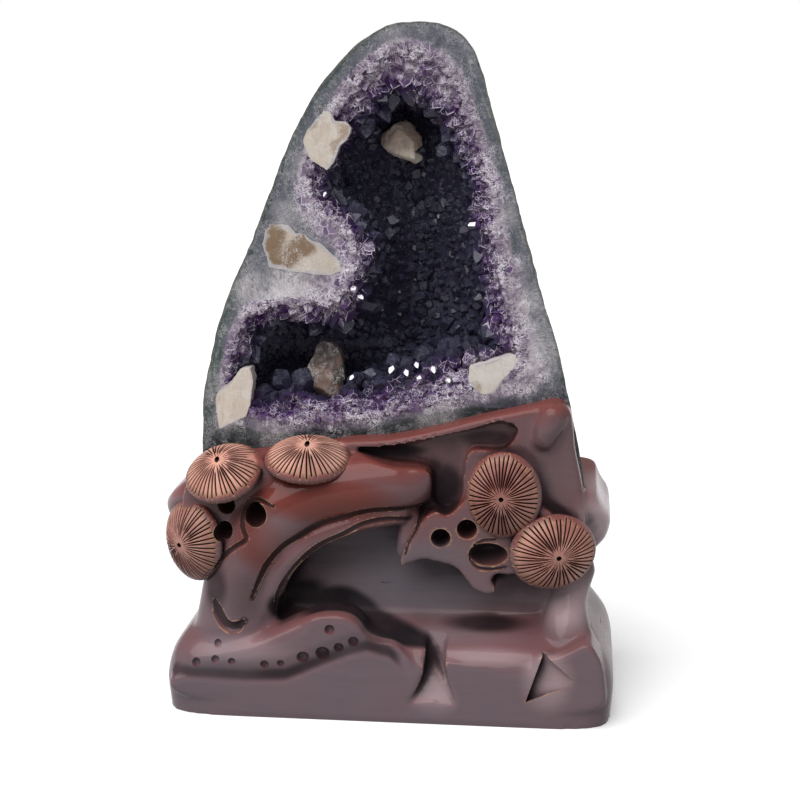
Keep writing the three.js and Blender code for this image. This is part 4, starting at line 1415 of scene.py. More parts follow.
@dataclass
class PineTuft:
    """A domed tuft of needles: grooves cut from near its middle to a plain rim."""

    at: Triple
    turn: float
    tilt: float
    wide: float
    tall: float
    seed: int
    pale: float = 1.0
    radius: float = 25.0
    dome: float = 11.0
    grooves: int = 44

    def _pose(self) -> Array:
        """How the tuft is turned in the frame."""
        turn = Matrix.Rotation(math.radians(self.turn), 3, "Z")
        return np.array(turn @ Matrix.Rotation(math.radians(90 - self.tilt), 3, "X"))

    def placed(self, places: Array) -> Array:
        """Turns points about the tuft's own axis into the frame."""
        return places * np.array([self.wide, self.tall, 1.0]) @ self._pose().T + np.array(self.at)

    def depth(self, places: Array) -> tuple[Array, Array]:
        """Tells where points lie against the plain dome.

        Args:
            places: Points in the frame, in millimetres.

        Returns:
            Each point's share of the tuft's radius, and how far it lies below the plain dome.
        """
        local = (places - np.array(self.at)) @ self._pose() / np.array([self.wide, self.tall, 1.0])
        share = np.hypot(local[:, 0], local[:, 1]) / self.radius
        return share, self.dome * (1 - share**2.1) - local[:, 2]

    def middle(self) -> Array:
        """The top of the dome."""
        return self.placed(np.array([[0, 0, self.dome]]))[0]

    def model(self) -> Piece:
        """Turns the dome, ring by ring, with its grooves.

        Returns:
            The tuft, closed.
        """
        rng = random.Random(self.seed)
        gap = math.tau / self.grooves
        angle = [(i + rng.uniform(-0.17, 0.17)) * gap for i in range(self.grooves)]
        start = [rng.uniform(0.2, 0.34) if i % 2 else rng.uniform(0.11, 0.17) for i in range(len(angle))]
        end = [rng.uniform(0.92, 0.985) for _ in angle]
        deep = [rng.uniform(1.0, 1.5) for _ in angle]
        shares = [*np.linspace(0.06, 0.3, 8), *np.linspace(0.35, 0.8, 8), *np.linspace(0.84, 0.985, 6)]
        rings = [self._ring(s, angle, start, end, deep) for s in shares]
        edge = [(1.0, -0.6), (1.005, -1.6), (0.985, -2.8), (0.93, -3.8)]
        edge += [(0.8, -4.2), (0.5, -4.4), (0.2, -4.4)]
        rings += [self._level(s, z, angle) for s, z in edge]
        return Bench.loft("tuft", [self.placed(r) for r in rings])

    def _columns(self, angle: list[float], share: float) -> list[tuple[float, int, float]]:
        """Columns across each groove at a share of the radius: their angle, groove and offset."""
        reach = self.radius * share
        gap = math.tau / self.grooves
        found = []
        for i, a in enumerate(angle):
            for offset in (-9.0, -0.56, -0.3, 0.0, 0.3, 0.56):
                if offset < -1:
                    before = angle[i - 1] - (math.tau if i == 0 else 0)
                    found.append(((a + before) / 2, i, 2.0))
                else:
                    limit = 0.34 * gap * offset / 0.56
                    wanted = offset / reach
                    found.append((a + math.copysign(min(abs(limit), abs(wanted)), offset), i, offset))
        return found

    def _ring(
        self, share: float, angle: list[float], start: list[float], end: list[float], deep: list[float]
    ) -> Array:
        """One ring of the dome, with the grooves' depth in it."""
        height = self.dome * (1 - share**2.1)
        rows = []
        for a, i, offset in self._columns(angle, share):
            inside = min(1.0, max(0.0, (share - start[i]) / 0.08))
            inside *= min(1.0, max(0.0, (end[i] - share) / 0.05))
            cut = {0.0: 1.0, 0.3: 0.6, 0.56: 0.0}.get(abs(offset), -0.18) * deep[i] * inside
            rows.append((self.radius * share * math.cos(a), self.radius * share * math.sin(a), height - cut))
        return np.array(rows)

    def _level(self, share: float, height: float, angle: list[float]) -> Array:
        """One plain ring of the rim or the underside."""
        turned = [a for a, _, _ in self._columns(angle, min(share, 1.0))]
        reach = self.radius * share
        return np.array([(reach * math.cos(a), reach * math.sin(a), height) for a in turned])


@dataclass
class CarvedStand:
    """The stand, carved from one block: rocky plinth, arching pine trunk, tufts and the geode's pocket."""

    form: GeodeForm
    voxel: float = 1.25
    clearance: float = 1.7
    wall_front: float = -40.0
    sections: Sequence[Sequence[float]] = (
        (0, -128, 134.2, -69.7, 69.7), (22, -129.5, 135.5, -69.7, 69.7), (34, -126, 132.5, -69, 69.5),
        (41, -121, 128, -64, 68), (47, -116, 123, -53, 67), (52, -113, 119, -39, 66),
        (57, -111, 116, -33, 65), (68, -108, 113, -31, 63),
        (88, -116, 120, -27, 63), (100, -131, 130, -28, 66), (112, -136, 132, -31, 68),
        (121, -132, 127, -38, 66), (131, -121, 123, -38, 62),
    )
    wall: Points = (
        (-106, 104), (-109, 130), (-100, 146), (-70, 152), (-40, 156), (-22, 160), (3, 162), (26, 167),
        (55, 175), (84, 182), (99, 185.5), (106, 182), (110, 158), (116, 126), (114, 104), (60, 100),
        (34, 116), (0, 124), (-40, 120), (-70, 104),
    )
    channel: Points = (
        (-19, 156), (3, 158), (26, 163), (50, 169), (68, 174), (77, 170), (70, 158), (50, 156), (46, 140),
        (44, 126), (37, 121), (29, 126), (27, 145), (4, 149),
    )
    left_plate: Points = (
        (-116, 90), (-104, 80), (-92, 80), (-88, 90), (-80, 100), (-73, 108), (-62, 116), (-60, 132),
        (-66, 148), (-96, 152), (-116, 134),
    )
    cape: Points = (
        (46, 128), (27, 121), (18, 108), (11.5, 97), (11, 89.5), (17.6, 92), (24, 94), (33.5, 92.5),
        (43, 89.5), (49, 82.5), (55, 76), (63.5, 74.5), (66.5, 78), (63, 82), (67, 87), (73, 86), (82, 89),
        (94, 92), (106, 98), (110, 108), (102, 120), (90, 130), (82, 144), (72, 149), (56, 148),
    )
    left_rock: Points = (
        (-123, 14), (-122, 26), (-112, 33), (-98, 38), (-80, 43), (-64, 50), (-50, 57), (-40, 61.5),
        (-33, 63.5), (-18, 63), (-11, 57.5), (-7, 51), (0, 48.5), (8, 47.5), (14, 43), (20, 36), (16, 14),
    )
    right_rock: Points = (
        (24, 14), (24, 36), (32, 39), (46, 38), (60, 37), (74, 34.5), (86, 33), (92, 44), (100, 43),
        (111, 48), (119, 52), (127, 42), (130, 28), (129, 14),
    )
    gully: Points = (
        (12, 62), (21, 53), (25, 46), (25.5, 38), (24.5, 30), (20.5, 21), (11.5, 9.5), (21.5, 12.6),
        (30, 14.4), (38.5, 11.8), (49.5, 8.5), (44.2, 19), (40.7, 28), (39, 37.5), (40, 46), (44, 53),
        (54, 62),
    )
    gully_floor: Points = ((8, -71), (13, -68.5), (20, -63), (30, -57.5), (40, -53), (48, -46), (56, -37))
    facet: Sequence[Triple] = ((94.5, -61, 45.5), (84.5, -65, 15.5), (114, -70.2, 28.5))
    tufts: Sequence[PineTuft] = (
        PineTuft((-93.6, -47, 142), -21, 53, 0.96, 0.88, seed=1, pale=0.9),
        PineTuft((-43.6, -47, 151.5), 4, 61, 1.01, 0.78, seed=2, pale=0.9),
        PineTuft((-113, -47, 99.4), -33, -1, 0.9, 0.97, seed=3, pale=0.58),
        PineTuft((70.0, -54, 134.2), -5, 2, 0.87, 1.0, seed=4, pale=0.56),
        PineTuft((98.9, -52, 100.8), 18, -3, 1.03, 0.9, seed=5, pale=0.74),
    )
    pits: Sequence[Triple] = (
        (-107.9, 31.8, 2.7), (-95.5, 42.9, 2.4), (-96.3, 34.2, 2.6), (-86.5, 33.5, 2.4), (-67.1, 32.5, 2.7),
        (-57.6, 33.5, 2.3), (-44.4, 37.8, 3.8), (-33, 40.7, 4.2), (-23.5, 44.4, 3), (-15, 48.4, 3.2),
        (-28.6, 55.5, 3),
    )
    holes: Sequence[Disc] = (
        (-91.6, 122.6, 5.7, 1.0), (-92.5, 108.2, 5.4, 1.0), (-73.1, 119.2, 6.9, 1.0), (34.1, 107.4, 5.8, 1.0),
        (49.2, 113.2, 6.0, 1.0), (61.5, 98.6, 7.0, 1.65),
    )
    grooves: Sequence[tuple[float, Points]] = (
        (2.5, ((-76, 69), (-72, 79), (-66.6, 89.6), (-57.8, 99.9), (-48, 106.5), (-36, 114), (-22, 118.7),
               (-10, 122.2), (0, 123.6), (22, 125.4))),
        (2.1, ((-63.5, 60), (-60.8, 71.7), (-53.8, 83.5), (-43.7, 95.3), (-33.8, 102.7), (-22.8, 108),
               (-10.5, 114.7), (4.7, 118), (16, 118))),
        (3.8, ((-98.5, 67), (-95.8, 60), (-91, 53.6), (-85, 52.2), (-80.5, 55.8))),
        (1.9, ((-98, 86), (-91.2, 95), (-85.2, 99.9), (-78.6, 105), (-80.6, 111), (-81.4, 118), (-78.4, 125),
               (-72, 127.4), (-62, 124.8))),
        (1.5, ((24, 126), (20, 112), (15, 103), (14, 97))),
        (1.2, ((66, 108), (57, 106), (51, 99), (54, 91.5), (62, 89.6), (72, 91.5))),
    )
    # The camera's line of sight: how far a point's place moves across and up for each millimetre of depth.
    sight: Point = (0.105, 0.213)
    # The line above the left rock along which a painted shade band lies.
    dull_shade: Points = (
        (-60, 64), (-51, 66.3), (-36, 67), (-21, 67.5), (-12, 63), (-5, 57), (4, 52.5), (13, 48.5), (23, 44),
    )
    crease: Points = (
        (-130, 21.5), (-115, 21.7), (-79, 21), (-55, 22.7), (-43.3, 27.6), (-29.1, 34.2), (-14.9, 39.8),
        (-6.8, 42), (6, 38.6), (14, 32), (20, 20),
    )
    # Painted shadows: soft near-black spots in the recess, by the trunk's foot, in the channel under the lip
    # and in a hole.
    painted_shadow: Sequence[Patch] = (
        ((-50, -38, 66), (22, 30, 12), 0.72),
        ((24, -44, 57), (24, 18, 9), 0.34),
        ((60, -40, 52.5), (36, 16, 5.5), 0.65),
        ((-83, -58, 70), (16, 16, 24), 0.35),
        ((36, -34, 134), (14, 16, 20), 0.7),
        ((0, -34, 154), (34, 10, 7), 0.75),
        ((60, -34, 162), (26, 10, 9), 0.6),
        ((-97, -54, 74), (12, 20, 20), 0.6),
        ((62, -52, 98), (12, 10, 8), 0.8),
    )
    # Spots of a grey tone, partly a painted sheen.
    grey_sheen_spots: Sequence[Patch] = (
        ((14, -32, 84), (82, 22, 36), 1.0),
        ((30, -54, 56), (66, 16, 13), 0.8),
        ((30, -50, 96), (24, 12, 12), 0.7),
        ((98, -44, 150), (22, 30, 34), 0.3),
    )
    # Spots kept red, with less of the painted sheen.
    reds: Sequence[Patch] = (((-35, -52, 130), (60, 22, 20), 1.0), ((-72, -52, 104), (22, 22, 26), 0.8))
    # Spots of pale pink painted sheen.
    pale_sheen_spots: Sequence[Patch] = (
        ((108, -36, 66), (17, 24, 20), 0.75),
        ((97, -68, 30), (15, 9, 20), 0.42),
        ((-133, 10, 112), (22, 60, 22), 0.5),
        ((129, -12, 114), (22, 50, 24), 1.0),
        ((32, -60, 16), (16, 14, 14), 0.36),
        ((-80, -66, 40), (34, 14, 9), 0.22),
        ((60, -66, 42), (34, 10, 5), 0.25),
        ((-58, -58, 106), (16, 20, 16), 0.12),
    )

    def model(self) -> Piece:
        """Roughs the body out, smooths it, then carves what has crisp edges.

        Returns:
            The stand, as one closed mesh.
        """
        body = self._rough_out()
        self._carve_soft(body)
        Bench.modify(body, "DECIMATE", ratio=0.5)
        for tuft in self.tufts:
            Bench.combine(body, tuft.model(), "UNION")
        self._carve_crisp(body)
        self._drill(body)
        self._score(body)
        self._pocket(body)
        Bench.clean(body, gap=0.01)
        Bench.refine(body, 3.2)
        self._note(body)
        return body

    def _rough_out(self) -> Piece:
        """The block, its plates and its limbs, fused and smoothed."""
        pieces = [
            self._block(),
            Bench.plate("wall", self.wall, -20, self.wall_front, 3),
            Bench.plate("left_plate", self.left_plate, -30, -50, 4),
            Bench.plate("cape", self.cape, -26, -53, 4),
            Bench.plate("left_rock", self.left_rock, -40, -69.5, 3.5),
            Bench.plate("right_rock", self.right_rock, -40, -69.5, 3),
            Bench.limb("trunk", [
                (-90, -40, 28, 27), (-88, -38, 50, 25), (-84, -38, 80, 22), (-70, -38, 108, 22),
                (-42, -38, 127, 21), (-10, -40, 135, 19), (15, -41, 138.5, 16.5), (27.5, -43, 147, 8.5),
            ]),
            Bench.limb("arch_lip", [
                (-72, -44, 44, 8), (-67, -47, 66, 7), (-58, -48, 86, 6.5), (-40, -49, 103, 6),
                (-14, -49, 114, 5.5), (12, -47, 119, 5),
            ]),
            Bench.limb("fold", [(17, -40, 118, 7), (15, -42, 106, 7), (12, -42, 95, 5)]),
            Bench.limb("root", [
                (112, -22, 84, 12), (108, -30, 66, 11), (107, -38, 50, 15), (108, -42, 32, 20),
            ]),
            Bench.limb("drip", [(98, -38, 178, 9), (94, -40, 170, 8), (92, -40, 163, 6)]),
        ]
        body = Bench.join("carved_stand", pieces)
        Bench.modify(body, "REMESH", mode="VOXEL", voxel_size=self.voxel * MM)
        return body

    def _block(self) -> Piece:
        """The block: rounded level sections, drawn smoothly from foot to rim."""
        table = np.array(self.sections, float)
        heights = np.concatenate([[0], np.arange(3, 131, 4), [131]])
        smooth = catmull_rom(table, closed=False)
        angle = (np.arange(120) + 0.5) * math.tau / 120
        bend = 2 / 9
        across = np.sign(np.cos(angle)) * np.abs(np.cos(angle)) ** bend
        along = np.sign(np.sin(angle)) * np.abs(np.sin(angle)) ** bend
        rings = []
        for z in heights:
            left, right, front, back = (np.interp(z, smooth[:, 0], smooth[:, k]) for k in range(1, 5))
            x = (left + right) / 2 + (right - left) / 2 * across
            y = (front + back) / 2 + (back - front) / 2 * along
            rings.append(np.column_stack([x, y, np.full(len(x), z)]))
        return Bench.loft("block", rings)

    def _carve_soft(self, body: Piece) -> None:
        """Cuts the broad hollows and smooths everything."""
        Bench.combine(body, Bench.plate("channel", self.channel, -33, -60, 1), "DIFFERENCE")
        Bench.combine(body, self._gully_tool(), "DIFFERENCE")
        Bench.modify(body, "REMESH", mode="VOXEL", voxel_size=self.voxel * MM)
        Bench.modify(body, "SMOOTH", factor=0.5, iterations=5)
        x, y, z = Bench.places(body).T
        foot = eased(-38, -48, x) * eased(-40, -52, y) * eased(18, 26, z) * eased(74, 60, z)
        self._melt(body, "foot", foot, 110)
        valley = eased(-52, -40, x) * eased(100, 86, x) * eased(-66, -58, y)
        valley *= eased(42, 48, z) * eased(76, 66, z)
        self._melt(body, "valley", valley, 30)
        places = Bench.places(body)
        above = self._over_crease(places)
        cove = 1.7 * eased(-1.5, 4.5, above) * eased(16, 6, above)
        cove *= eased(-61, -66, places[:, 1]) * eased(20, 10, places[:, 0])
        places[:, 1] += cove
        places[:, 2] = np.where(places[:, 2] < 1.2, 0.0, places[:, 2])
        Bench.put(body, places)

    @staticmethod
    def _melt(body: Piece, name: str, weights: Array, times: int) -> None:
        """Smooths a part of the body, as far as each point's weight says."""
        group = body.vertex_groups.new(name=name)
        for index in np.flatnonzero(weights > 0.02):
            group.add([int(index)], float(weights[index]), "REPLACE")
        Bench.modify(body, "SMOOTH", factor=0.5, iterations=times, vertex_group=name)
        body.vertex_groups.remove(body.vertex_groups[name])

    def _gully_tool(self) -> Piece:
        """What the gully is cut with: its outline in front, drawn in to a sloping floor."""
        loop = outline_loop(self.gully, 90)
        middle = 32.0
        floor = np.interp(loop[:, 1], *np.array(self.gully_floor).T)
        back = np.column_stack([middle + (loop[:, 0] - middle) * 0.8, floor, loop[:, 1]])
        front = upright(loop, -80.0)
        return Bench.loft("gully", [back, front])

    def _over_crease(self, places: Array) -> Array:
        """How far points lie above the crease along the plinth."""
        line = np.array(self.crease)
        return places[:, 2] - np.interp(places[:, 0], line[:, 0], line[:, 1])

    def _carve_crisp(self, body: Piece) -> None:
        """Cuts the right rock's facet, which keeps sharp edges."""
        deep = np.array(self.facet)
        near = deep.copy()
        near[:, 1] = -80
        Bench.combine(body, Bench.loft("facet", [deep, near]), "DIFFERENCE")

    def _drill(self, body: Piece) -> None:
        """Drills the holes, the tufts' middles and the small pits."""
        for x, z, radius, wide in self.holes:
            Bench.combine(body, Bench.drill("hole", (x, -56, z), radius, 17, wide), "DIFFERENCE")
        for x, z, radius in self.pits:
            y = self._surface_y(body, x, z)
            Bench.combine(body, Bench.drill("pit", (x, y - 0.3, z), radius, radius + 0.7), "DIFFERENCE")
        for tuft in self.tufts:
            x, y, z = tuft.middle()
            Bench.combine(body, Bench.drill("eye", (x, y, z), 1.5, 5), "DIFFERENCE")

    @staticmethod
    def _surface_y(body: Piece, x: float, z: float) -> float:
        """Where a line along +Y first meets the body, in millimetres."""
        tree = BVHTree.FromObject(body, bpy.context.evaluated_depsgraph_get())
        hit = tree.ray_cast(Vector((x, -200, z)) * MM, Vector((0, 1, 0)))[0]
        return hit.y / MM if hit else -70.0

    def _score(self, body: Piece) -> None:
        """Scores the grooves that follow the arch, the trunk's knot and the folds beside the holes."""
        tree = BVHTree.FromObject(body, bpy.context.evaluated_depsgraph_get())
        for radius, points in self.grooves:
            flat = evenly(catmull_rom(points, closed=False), 40, closed=False)
            path = []
            for i, (x, z) in enumerate(flat):
                hit = tree.ray_cast(Vector((x, -200, z)) * MM, Vector((0, 1, 0)))[0]
                ends = min(1.0, (i + 0.6) / 7, (len(flat) - i - 0.4) / 7)
                y = (hit.y / MM if hit else -60) - 0.15 * radius
                path.append((x, y, z, radius * (0.35 + 0.65 * ends)))
            Bench.combine(body, Bench.limb("gouge", path, sides=12, step=2.0), "DIFFERENCE")

    def _pocket(self, body: Piece) -> None:
        """Cuts the pocket that the geode stands in."""
        grow = self.clearance
        shares = 1 - (1 - np.linspace(0, 0.97, 20)) ** 1.3
        rings = [self.form.outside_ring(float(s), 160, grow) for s in shares]
        front = rings[0].copy()
        front[:, 1] = self.form.face_y - 0.5
        pocket = Bench.loft("pocket", [front, *rings])
        floor = (0, 0, (self.form.bottom_z - 0.4) * MM)
        with Bench.edit(pocket):
            bpy.ops.mesh.bisect(plane_co=floor, plane_no=(0, 0, 1), use_fill=True, clear_inner=True)
            bpy.ops.mesh.select_all(action="SELECT")
            bpy.ops.mesh.normals_make_consistent(inside=False)
        Bench.combine(body, pocket, "DIFFERENCE")

    def _note(self, body: Piece) -> None:
        """Notes for the lacquer each point's tan edges, partly wear and partly painted highlight, its painted
        shade and its painted sheen.
        """
        places = Bench.places(body)
        x, y, z = places.T
        mesh = body.data
        count = len(mesh.vertices)
        normals = np.zeros(count * 3)
        mesh.vertex_normals.foreach_get("vector", normals)
        normals = normals.reshape(-1, 3)
        ends = np.zeros(len(mesh.edges) * 2, int)
        mesh.edges.foreach_get("vertices", ends)
        ends = ends.reshape(-1, 2)
        degree = np.bincount(ends.ravel(), minlength=count)

        def around(values: Array) -> Array:
            """The mean of each point's neighbours."""
            total = np.zeros_like(values)
            np.add.at(total, ends[:, 0], values[ends[:, 1]])
            np.add.at(total, ends[:, 1], values[ends[:, 0]])
            return total / degree.reshape(-1, *[1] * (values.ndim - 1))

        lengths = np.linalg.norm(places[ends[:, 0]] - places[ends[:, 1]], axis=1)
        reach = (np.bincount(ends[:, 0], lengths, count) + np.bincount(ends[:, 1], lengths, count)) / degree
        bend = np.einsum("ij,ij->i", around(places) - places, normals) / np.maximum(reach, 0.4)
        # Convex edges turn tan: partly rubbed lacquer, partly a painted edge highlight.
        wear_and_highlight = eased(0.06, 0.3, -bend)
        wear_and_highlight = 0.55 * wear_and_highlight + 0.45 * around(wear_and_highlight)
        shade = around(around(self._shade(body, places, normals)))
        # Painted sheen: upward faces and high parts red, the others greyed; the red spots keep parts of the
        # limb red.
        lift = 0.38 * eased(30, 120, z) + 0.45 * eased(-0.2, 0.9, normals[:, 2])
        lift = np.maximum(lift, self._spots(places, self.reds))
        tuft, groove = np.zeros(count), np.zeros(count)
        for each in self.tufts:
            share, depth = each.depth(places)
            on = eased(1.06, 0.98, share) * eased(6, 4.5, np.abs(depth))
            # Each tuft painted darker towards its rim: painted shade.
            tuft = np.maximum(tuft, on * each.pale * (1 - 0.85 * eased(0.84, 1.0, share)))
            # The tufts' grooves, to be painted near black as shade.
            cut = on * eased(0.995, 0.96, share) * eased(0.2, 0.75, depth) * eased(0.09, 0.13, share)
            groove = np.maximum(groove, cut)
        # Less tan edge where the painted shade lies, none near the floor.
        wear_and_highlight = wear_and_highlight * (1 - 0.5 * shade) * eased(0.6, 2.0, z)
        # Painted shade in the cove above the crease, with the painted shadows.
        above = self._over_crease(places)
        band = eased(-2, 3, above) * eased(13, 5, above)
        band *= eased(-58, -63, y) * eased(18, 8, x)
        painted_shadow = np.maximum(self._spots(places, self.painted_shadow), 0.6 * band)
        # The pits get less painted shade and less tan edge.
        for across, up, radius in self.pits:
            away = np.hypot(x - across, z - up) / radius
            wear_and_highlight = wear_and_highlight * (1 - 0.7 * eased(1.7, 1.3, away))
            shade = shade * (1 - 0.5 * eased(1.4, 1.1, away))
        Bench.note(body, "wear_and_highlight", wear_and_highlight)
        # A painted shade band above the left rock, placed as the camera sees it.
        level = places[:, (0, 2)]
        seen = level + np.outer(y + 58, self.sight)
        back = eased(-10, -20, y) * eased(-64, -58, y)
        painted_shadow = np.maximum(painted_shadow, 0.71 * back * self._beside(seen, 12.0, self.dull_shade))
        # Painted shade inside the scored grooves.
        for radius, points in self.grooves:
            painted_shadow = np.maximum(painted_shadow, 0.62 * eased(-24, -34, y) * self._beside(level, 1.15 * radius, points))
        # Painted shade: near black where the body hides the sky, under the painted shadows and in the scored
        # grooves.
        Bench.note(body, "hollow", np.clip(np.maximum(0.7 * shade, painted_shadow), 0, 1))
        Bench.note(body, "lift", lift)
        Bench.note(body, "tuft", tuft)
        Bench.note(body, "groove", groove)
        inward = eased(-20, -24, y)
        # A grey tone, partly a painted sheen.
        Bench.note(body, "grey_sheen", self._spots(places, self.grey_sheen_spots) * (1 - tuft) * inward)
        # Pale pink painted sheen.
        Bench.note(body, "pale_sheen", self._spots(places, self.pale_sheen_spots) * (1 - tuft))

    @staticmethod
    def _beside(flat: Array, reach: float, line: Points) -> Array:
        """How close points lie to a line in a flat view: 1 on it, 0 from its reach on."""
        tree = tree_of(evenly(catmull_rom(line, closed=False), 160, closed=False))
        away = np.array([tree.find((*p, 0))[2] for p in flat])
        return eased(reach, 0.35 * reach, away)

    @staticmethod
    def _spots(places: Array, spots: Sequence[Patch]) -> Array:
        """How strongly soft-edged spots, each with a middle, a reach and a strength, cover each point."""
        found = np.zeros(len(places))
        for middle, reach, strength in spots:
            away = np.linalg.norm((places - np.array(middle)) / np.array(reach), axis=1)
            found = np.maximum(found, strength * eased(1.25, 0.35, away))
        return found

    @staticmethod
    def _shade(body: Piece, places: Array, normals: Array, reach: float = 26.0) -> Array:
        """How much of the sky near each point the body itself hides, from 0 to 1."""
        tree = BVHTree.FromObject(body, bpy.context.evaluated_depsgraph_get())
        rng = np.random.default_rng(5)
        ways = rng.normal(size=(14, 3))
        ways /= np.linalg.norm(ways, axis=1)[:, None]
        found = np.zeros(len(places))
        for i, (place, normal) in enumerate(zip(places, normals)):
            start = Vector((place + 0.4 * normal) * MM)
            hits = 0
            for way in ways:
                turned = way if way @ normal > 0 else -way
                if tree.ray_cast(start, Vector(turned), reach * MM)[0] is not None:
                    hits += 1
            found[i] = hits / len(ways)
        return eased(0.12, 0.75, found)


@dataclass
class Studio:
    """The pale floor, a broad soft light from above and the camera at the photograph's angle."""

    camera_at: Triple = (107.2, -972.8, 384.9)
    target: Triple = (5.0, 0.0, 177.0)
    lens: float = 75.0
    light_from: Triple = (-0.32, -0.42, 0.85)
    light_strength: float = 3.3
    light_width: float = 60.0
    sky: float = 0.38

    def set_up(self) -> None:
        """Makes the floor, the light, the world and the camera."""
        self._floor()
        self._light()
        self._world()
        self._camera()

    @staticmethod
    def _floor() -> None:
        """A wide plain floor, which doesn't brighten the object from below."""
        bpy.ops.object.select_all(action="DESELECT")
        bpy.ops.mesh.primitive_plane_add(size=60.0, location=(0, 0, -0.0002))
        floor = bpy.context.object
        floor.name = floor.data.name = "floor"
        floor.visible_diffuse = False
        floor.data.materials.append(PaleFloor().material())

    def _light(self) -> None:
        """One light as wide as a studio's ceiling."""
        data = bpy.data.lights.new("ceiling_light", "SUN")
        data.energy = self.light_strength
        data.angle = math.radians(self.light_width)
        light = bpy.data.objects.new("ceiling_light", data)
        bpy.context.collection.objects.link(light)
        light.rotation_euler = Vector(self.light_from).to_track_quat("Z", "Y").to_euler()

    def _world(self) -> None:
        """A room that is white where the camera sees it and gives a soft even light."""
        world = bpy.data.worlds.new("white_room")
        world.use_nodes = True
        tree = world.node_tree
        background = tree.nodes["Background"]
        path = tree.nodes.new("ShaderNodeLightPath")
        strength = tree.nodes.new("ShaderNodeMapRange")
        strength.inputs["To Min"].default_value = self.sky
        strength.inputs["To Max"].default_value = 1.0
        tree.links.new(path.outputs["Is Camera Ray"], strength.inputs["Value"])
        tree.links.new(strength.outputs["Result"], background.inputs["Strength"])
        background.inputs["Color"].default_value = (1.0, 1.0, 1.0, 1.0)
        bpy.context.scene.world = world
        bpy.context.scene.view_settings.view_transform = "Standard"

    def _camera(self) -> None:
        """The camera."""
        data = bpy.data.cameras.new("camera")
        data.lens = self.lens
        data.sensor_width = 36.0
        camera = bpy.data.objects.new("camera", data)
        bpy.context.collection.objects.link(camera)
        camera.location = Vector(self.camera_at) * MM
        way = Vector(self.target) * MM - camera.location
        camera.rotation_euler = way.to_track_quat("-Z", "Y").to_euler()
        bpy.context.scene.camera = camera


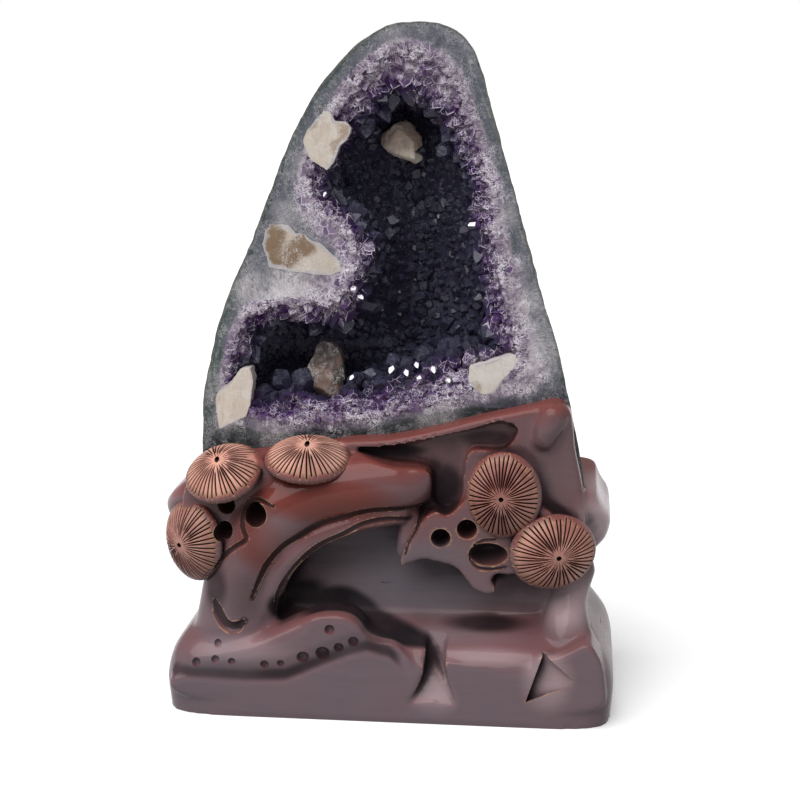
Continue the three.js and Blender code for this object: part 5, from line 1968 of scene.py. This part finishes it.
CALCITES = (
    CalciteCrystal(
        "calcite_upper_left", CalciteTint.CREAM,
        ((-36, 349), (-32.5, 348.5), (-30, 343), (-24, 342.5), (-20.5, 339), (-22, 334.5), (-23.5, 332),
         (-27, 329.5), (-29.5, 323), (-31, 319.5), (-35, 315), (-39, 318), (-44, 320.5), (-47, 325.5),
         (-48.5, 331), (-47, 337), (-43, 341), (-39.5, 345.5)),
        front=-22.15, back=-6, seed=3, sawn=True, soft_edge=2.6,
        # Its brown at the right side is partly stain, partly painted shade.
        stains=((-21, 337, 10), (-26, 328, 7), (-44, 344, 6)),
    ),
    CalciteCrystal(
        "calcite_back_wall", CalciteTint.TAN,
        ((-8, 334), (-4.5, 336), (-1.5, 338.5), (1.5, 341), (6.5, 342), (11, 339), (12, 336), (16, 332),
         (16, 327), (11.5, 323.5), (15.5, 321.5), (16.5, 319), (12.5, 316), (9, 318), (1.5, 320),
         (-1, 321.5), (-5, 324.5), (-8.5, 327.5)),
        front=14, back=32, seed=8, stains=((-3, 331, 12), (6, 335, 12), (12, 331, 6)),
    ),
    CalciteCrystal(
        "calcite_left_shoulder", CalciteTint.BROWN,
        ((-44.5, 275), (-38, 272.5), (-33, 268), (-28.5, 264), (-26, 257), (-34, 254.5), (-42, 255),
         (-53, 256.5), (-62, 257.5), (-69, 259), (-71, 266), (-73, 272), (-71.5, 279), (-68.5, 284),
         (-62, 284), (-57, 283), (-53.5, 279), (-48, 279)),
        front=-22.15, back=-9, seed=5, sawn=True, soft_edge=4.0,
        stains=((-67, 278, 9), (-63, 262, 9), (-49, 272, 8), (-55, 267, 7), (-68, 270, 7)),
    ),
    CalciteCrystal(
        "calcite_lower_left", CalciteTint.CREAM,
        ((-87.5, 198.5), (-81.5, 199), (-80, 191.5), (-82, 176), (-84.5, 169.5), (-90.5, 167), (-97.5, 163),
         (-101, 162), (-102.5, 172), (-103, 180.5), (-100.5, 185.5), (-93, 191)),
        front=-22.15, back=0, seed=11, sawn=True, soft_edge=1.6,
    ),
    CalciteCrystal(
        "calcite_floor", CalciteTint.DUSK,
        ((-41.3, 213), (-45, 209.7), (-47, 203.5), (-49.9, 198.4), (-52, 191), (-51.3, 184), (-47.7, 179.5),
         (-41.7, 177.5), (-35.6, 178.5), (-30, 182), (-27.5, 189), (-28.8, 196.7), (-30, 203.3),
         (-32.7, 208.7),
         (-36.9, 212.3)),
        front=-6, back=14, seed=2, chips=4,
        # Its stains paint shade: darker at its top and sides.
        stains=((-41, 209, 12), (-28, 192, 8), (-53, 190, 9), (-49, 203, 7)),
    ),
    CalciteCrystal(
        "calcite_lower_right", CalciteTint.WHITE,
        ((48, 202.5), (52.5, 203.5), (58.5, 205), (64.5, 207.5), (71, 210), (75, 209.5), (76, 207),
         (74.5, 203), (71, 198.5), (67.5, 195), (64.5, 190), (62.5, 187.5), (57, 186), (52.5, 187.5),
         (51, 189.5), (49, 191), (47, 195)),
        front=-22.15, back=-4, seed=14, sawn=True, soft_edge=1.6, stains=((50, 190, 5),),
    ),
)


def dress(piece: Piece, material: bpy.types.Material, node: str, smooth: bool) -> None:
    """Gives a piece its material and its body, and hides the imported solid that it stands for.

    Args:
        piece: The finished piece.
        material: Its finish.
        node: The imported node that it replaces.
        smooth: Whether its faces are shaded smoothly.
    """
    Bench.take_up(piece)
    if smooth:
        bpy.ops.object.shade_smooth_by_angle(angle=math.radians(38))
    else:
        bpy.ops.object.shade_flat()
    piece.data.materials.clear()
    piece.data.materials.append(material)
    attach(piece, "root")
    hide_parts(node)
    log.info("%s: %d faces", piece.name, len(piece.data.polygons))


def main() -> None:
    """Builds the pieces in order and sets the studio up."""
    logging.basicConfig(level=logging.INFO, format="%(name)s %(message)s")
    form = GeodeForm()
    Studio().set_up()
    stand = CarvedStand(form).model()
    dress(stand, LacqueredWood().material(), "wooden_stand", smooth=True)
    shell = GeodeShell(form).model()
    dress(shell, AgateAndBasalt().material(), "geode_shell", smooth=True)
    crust = AmethystCrust(form).model()
    dress(crust, Amethyst().material(), "amethyst_crust", smooth=False)
    for calcite in CALCITES:
        piece = calcite.model()
        finish = CalciteStone(calcite.node, *calcite.tint.value).material()
        dress(piece, finish, calcite.node, smooth=True)


if __name__ == "__main__":
    main()
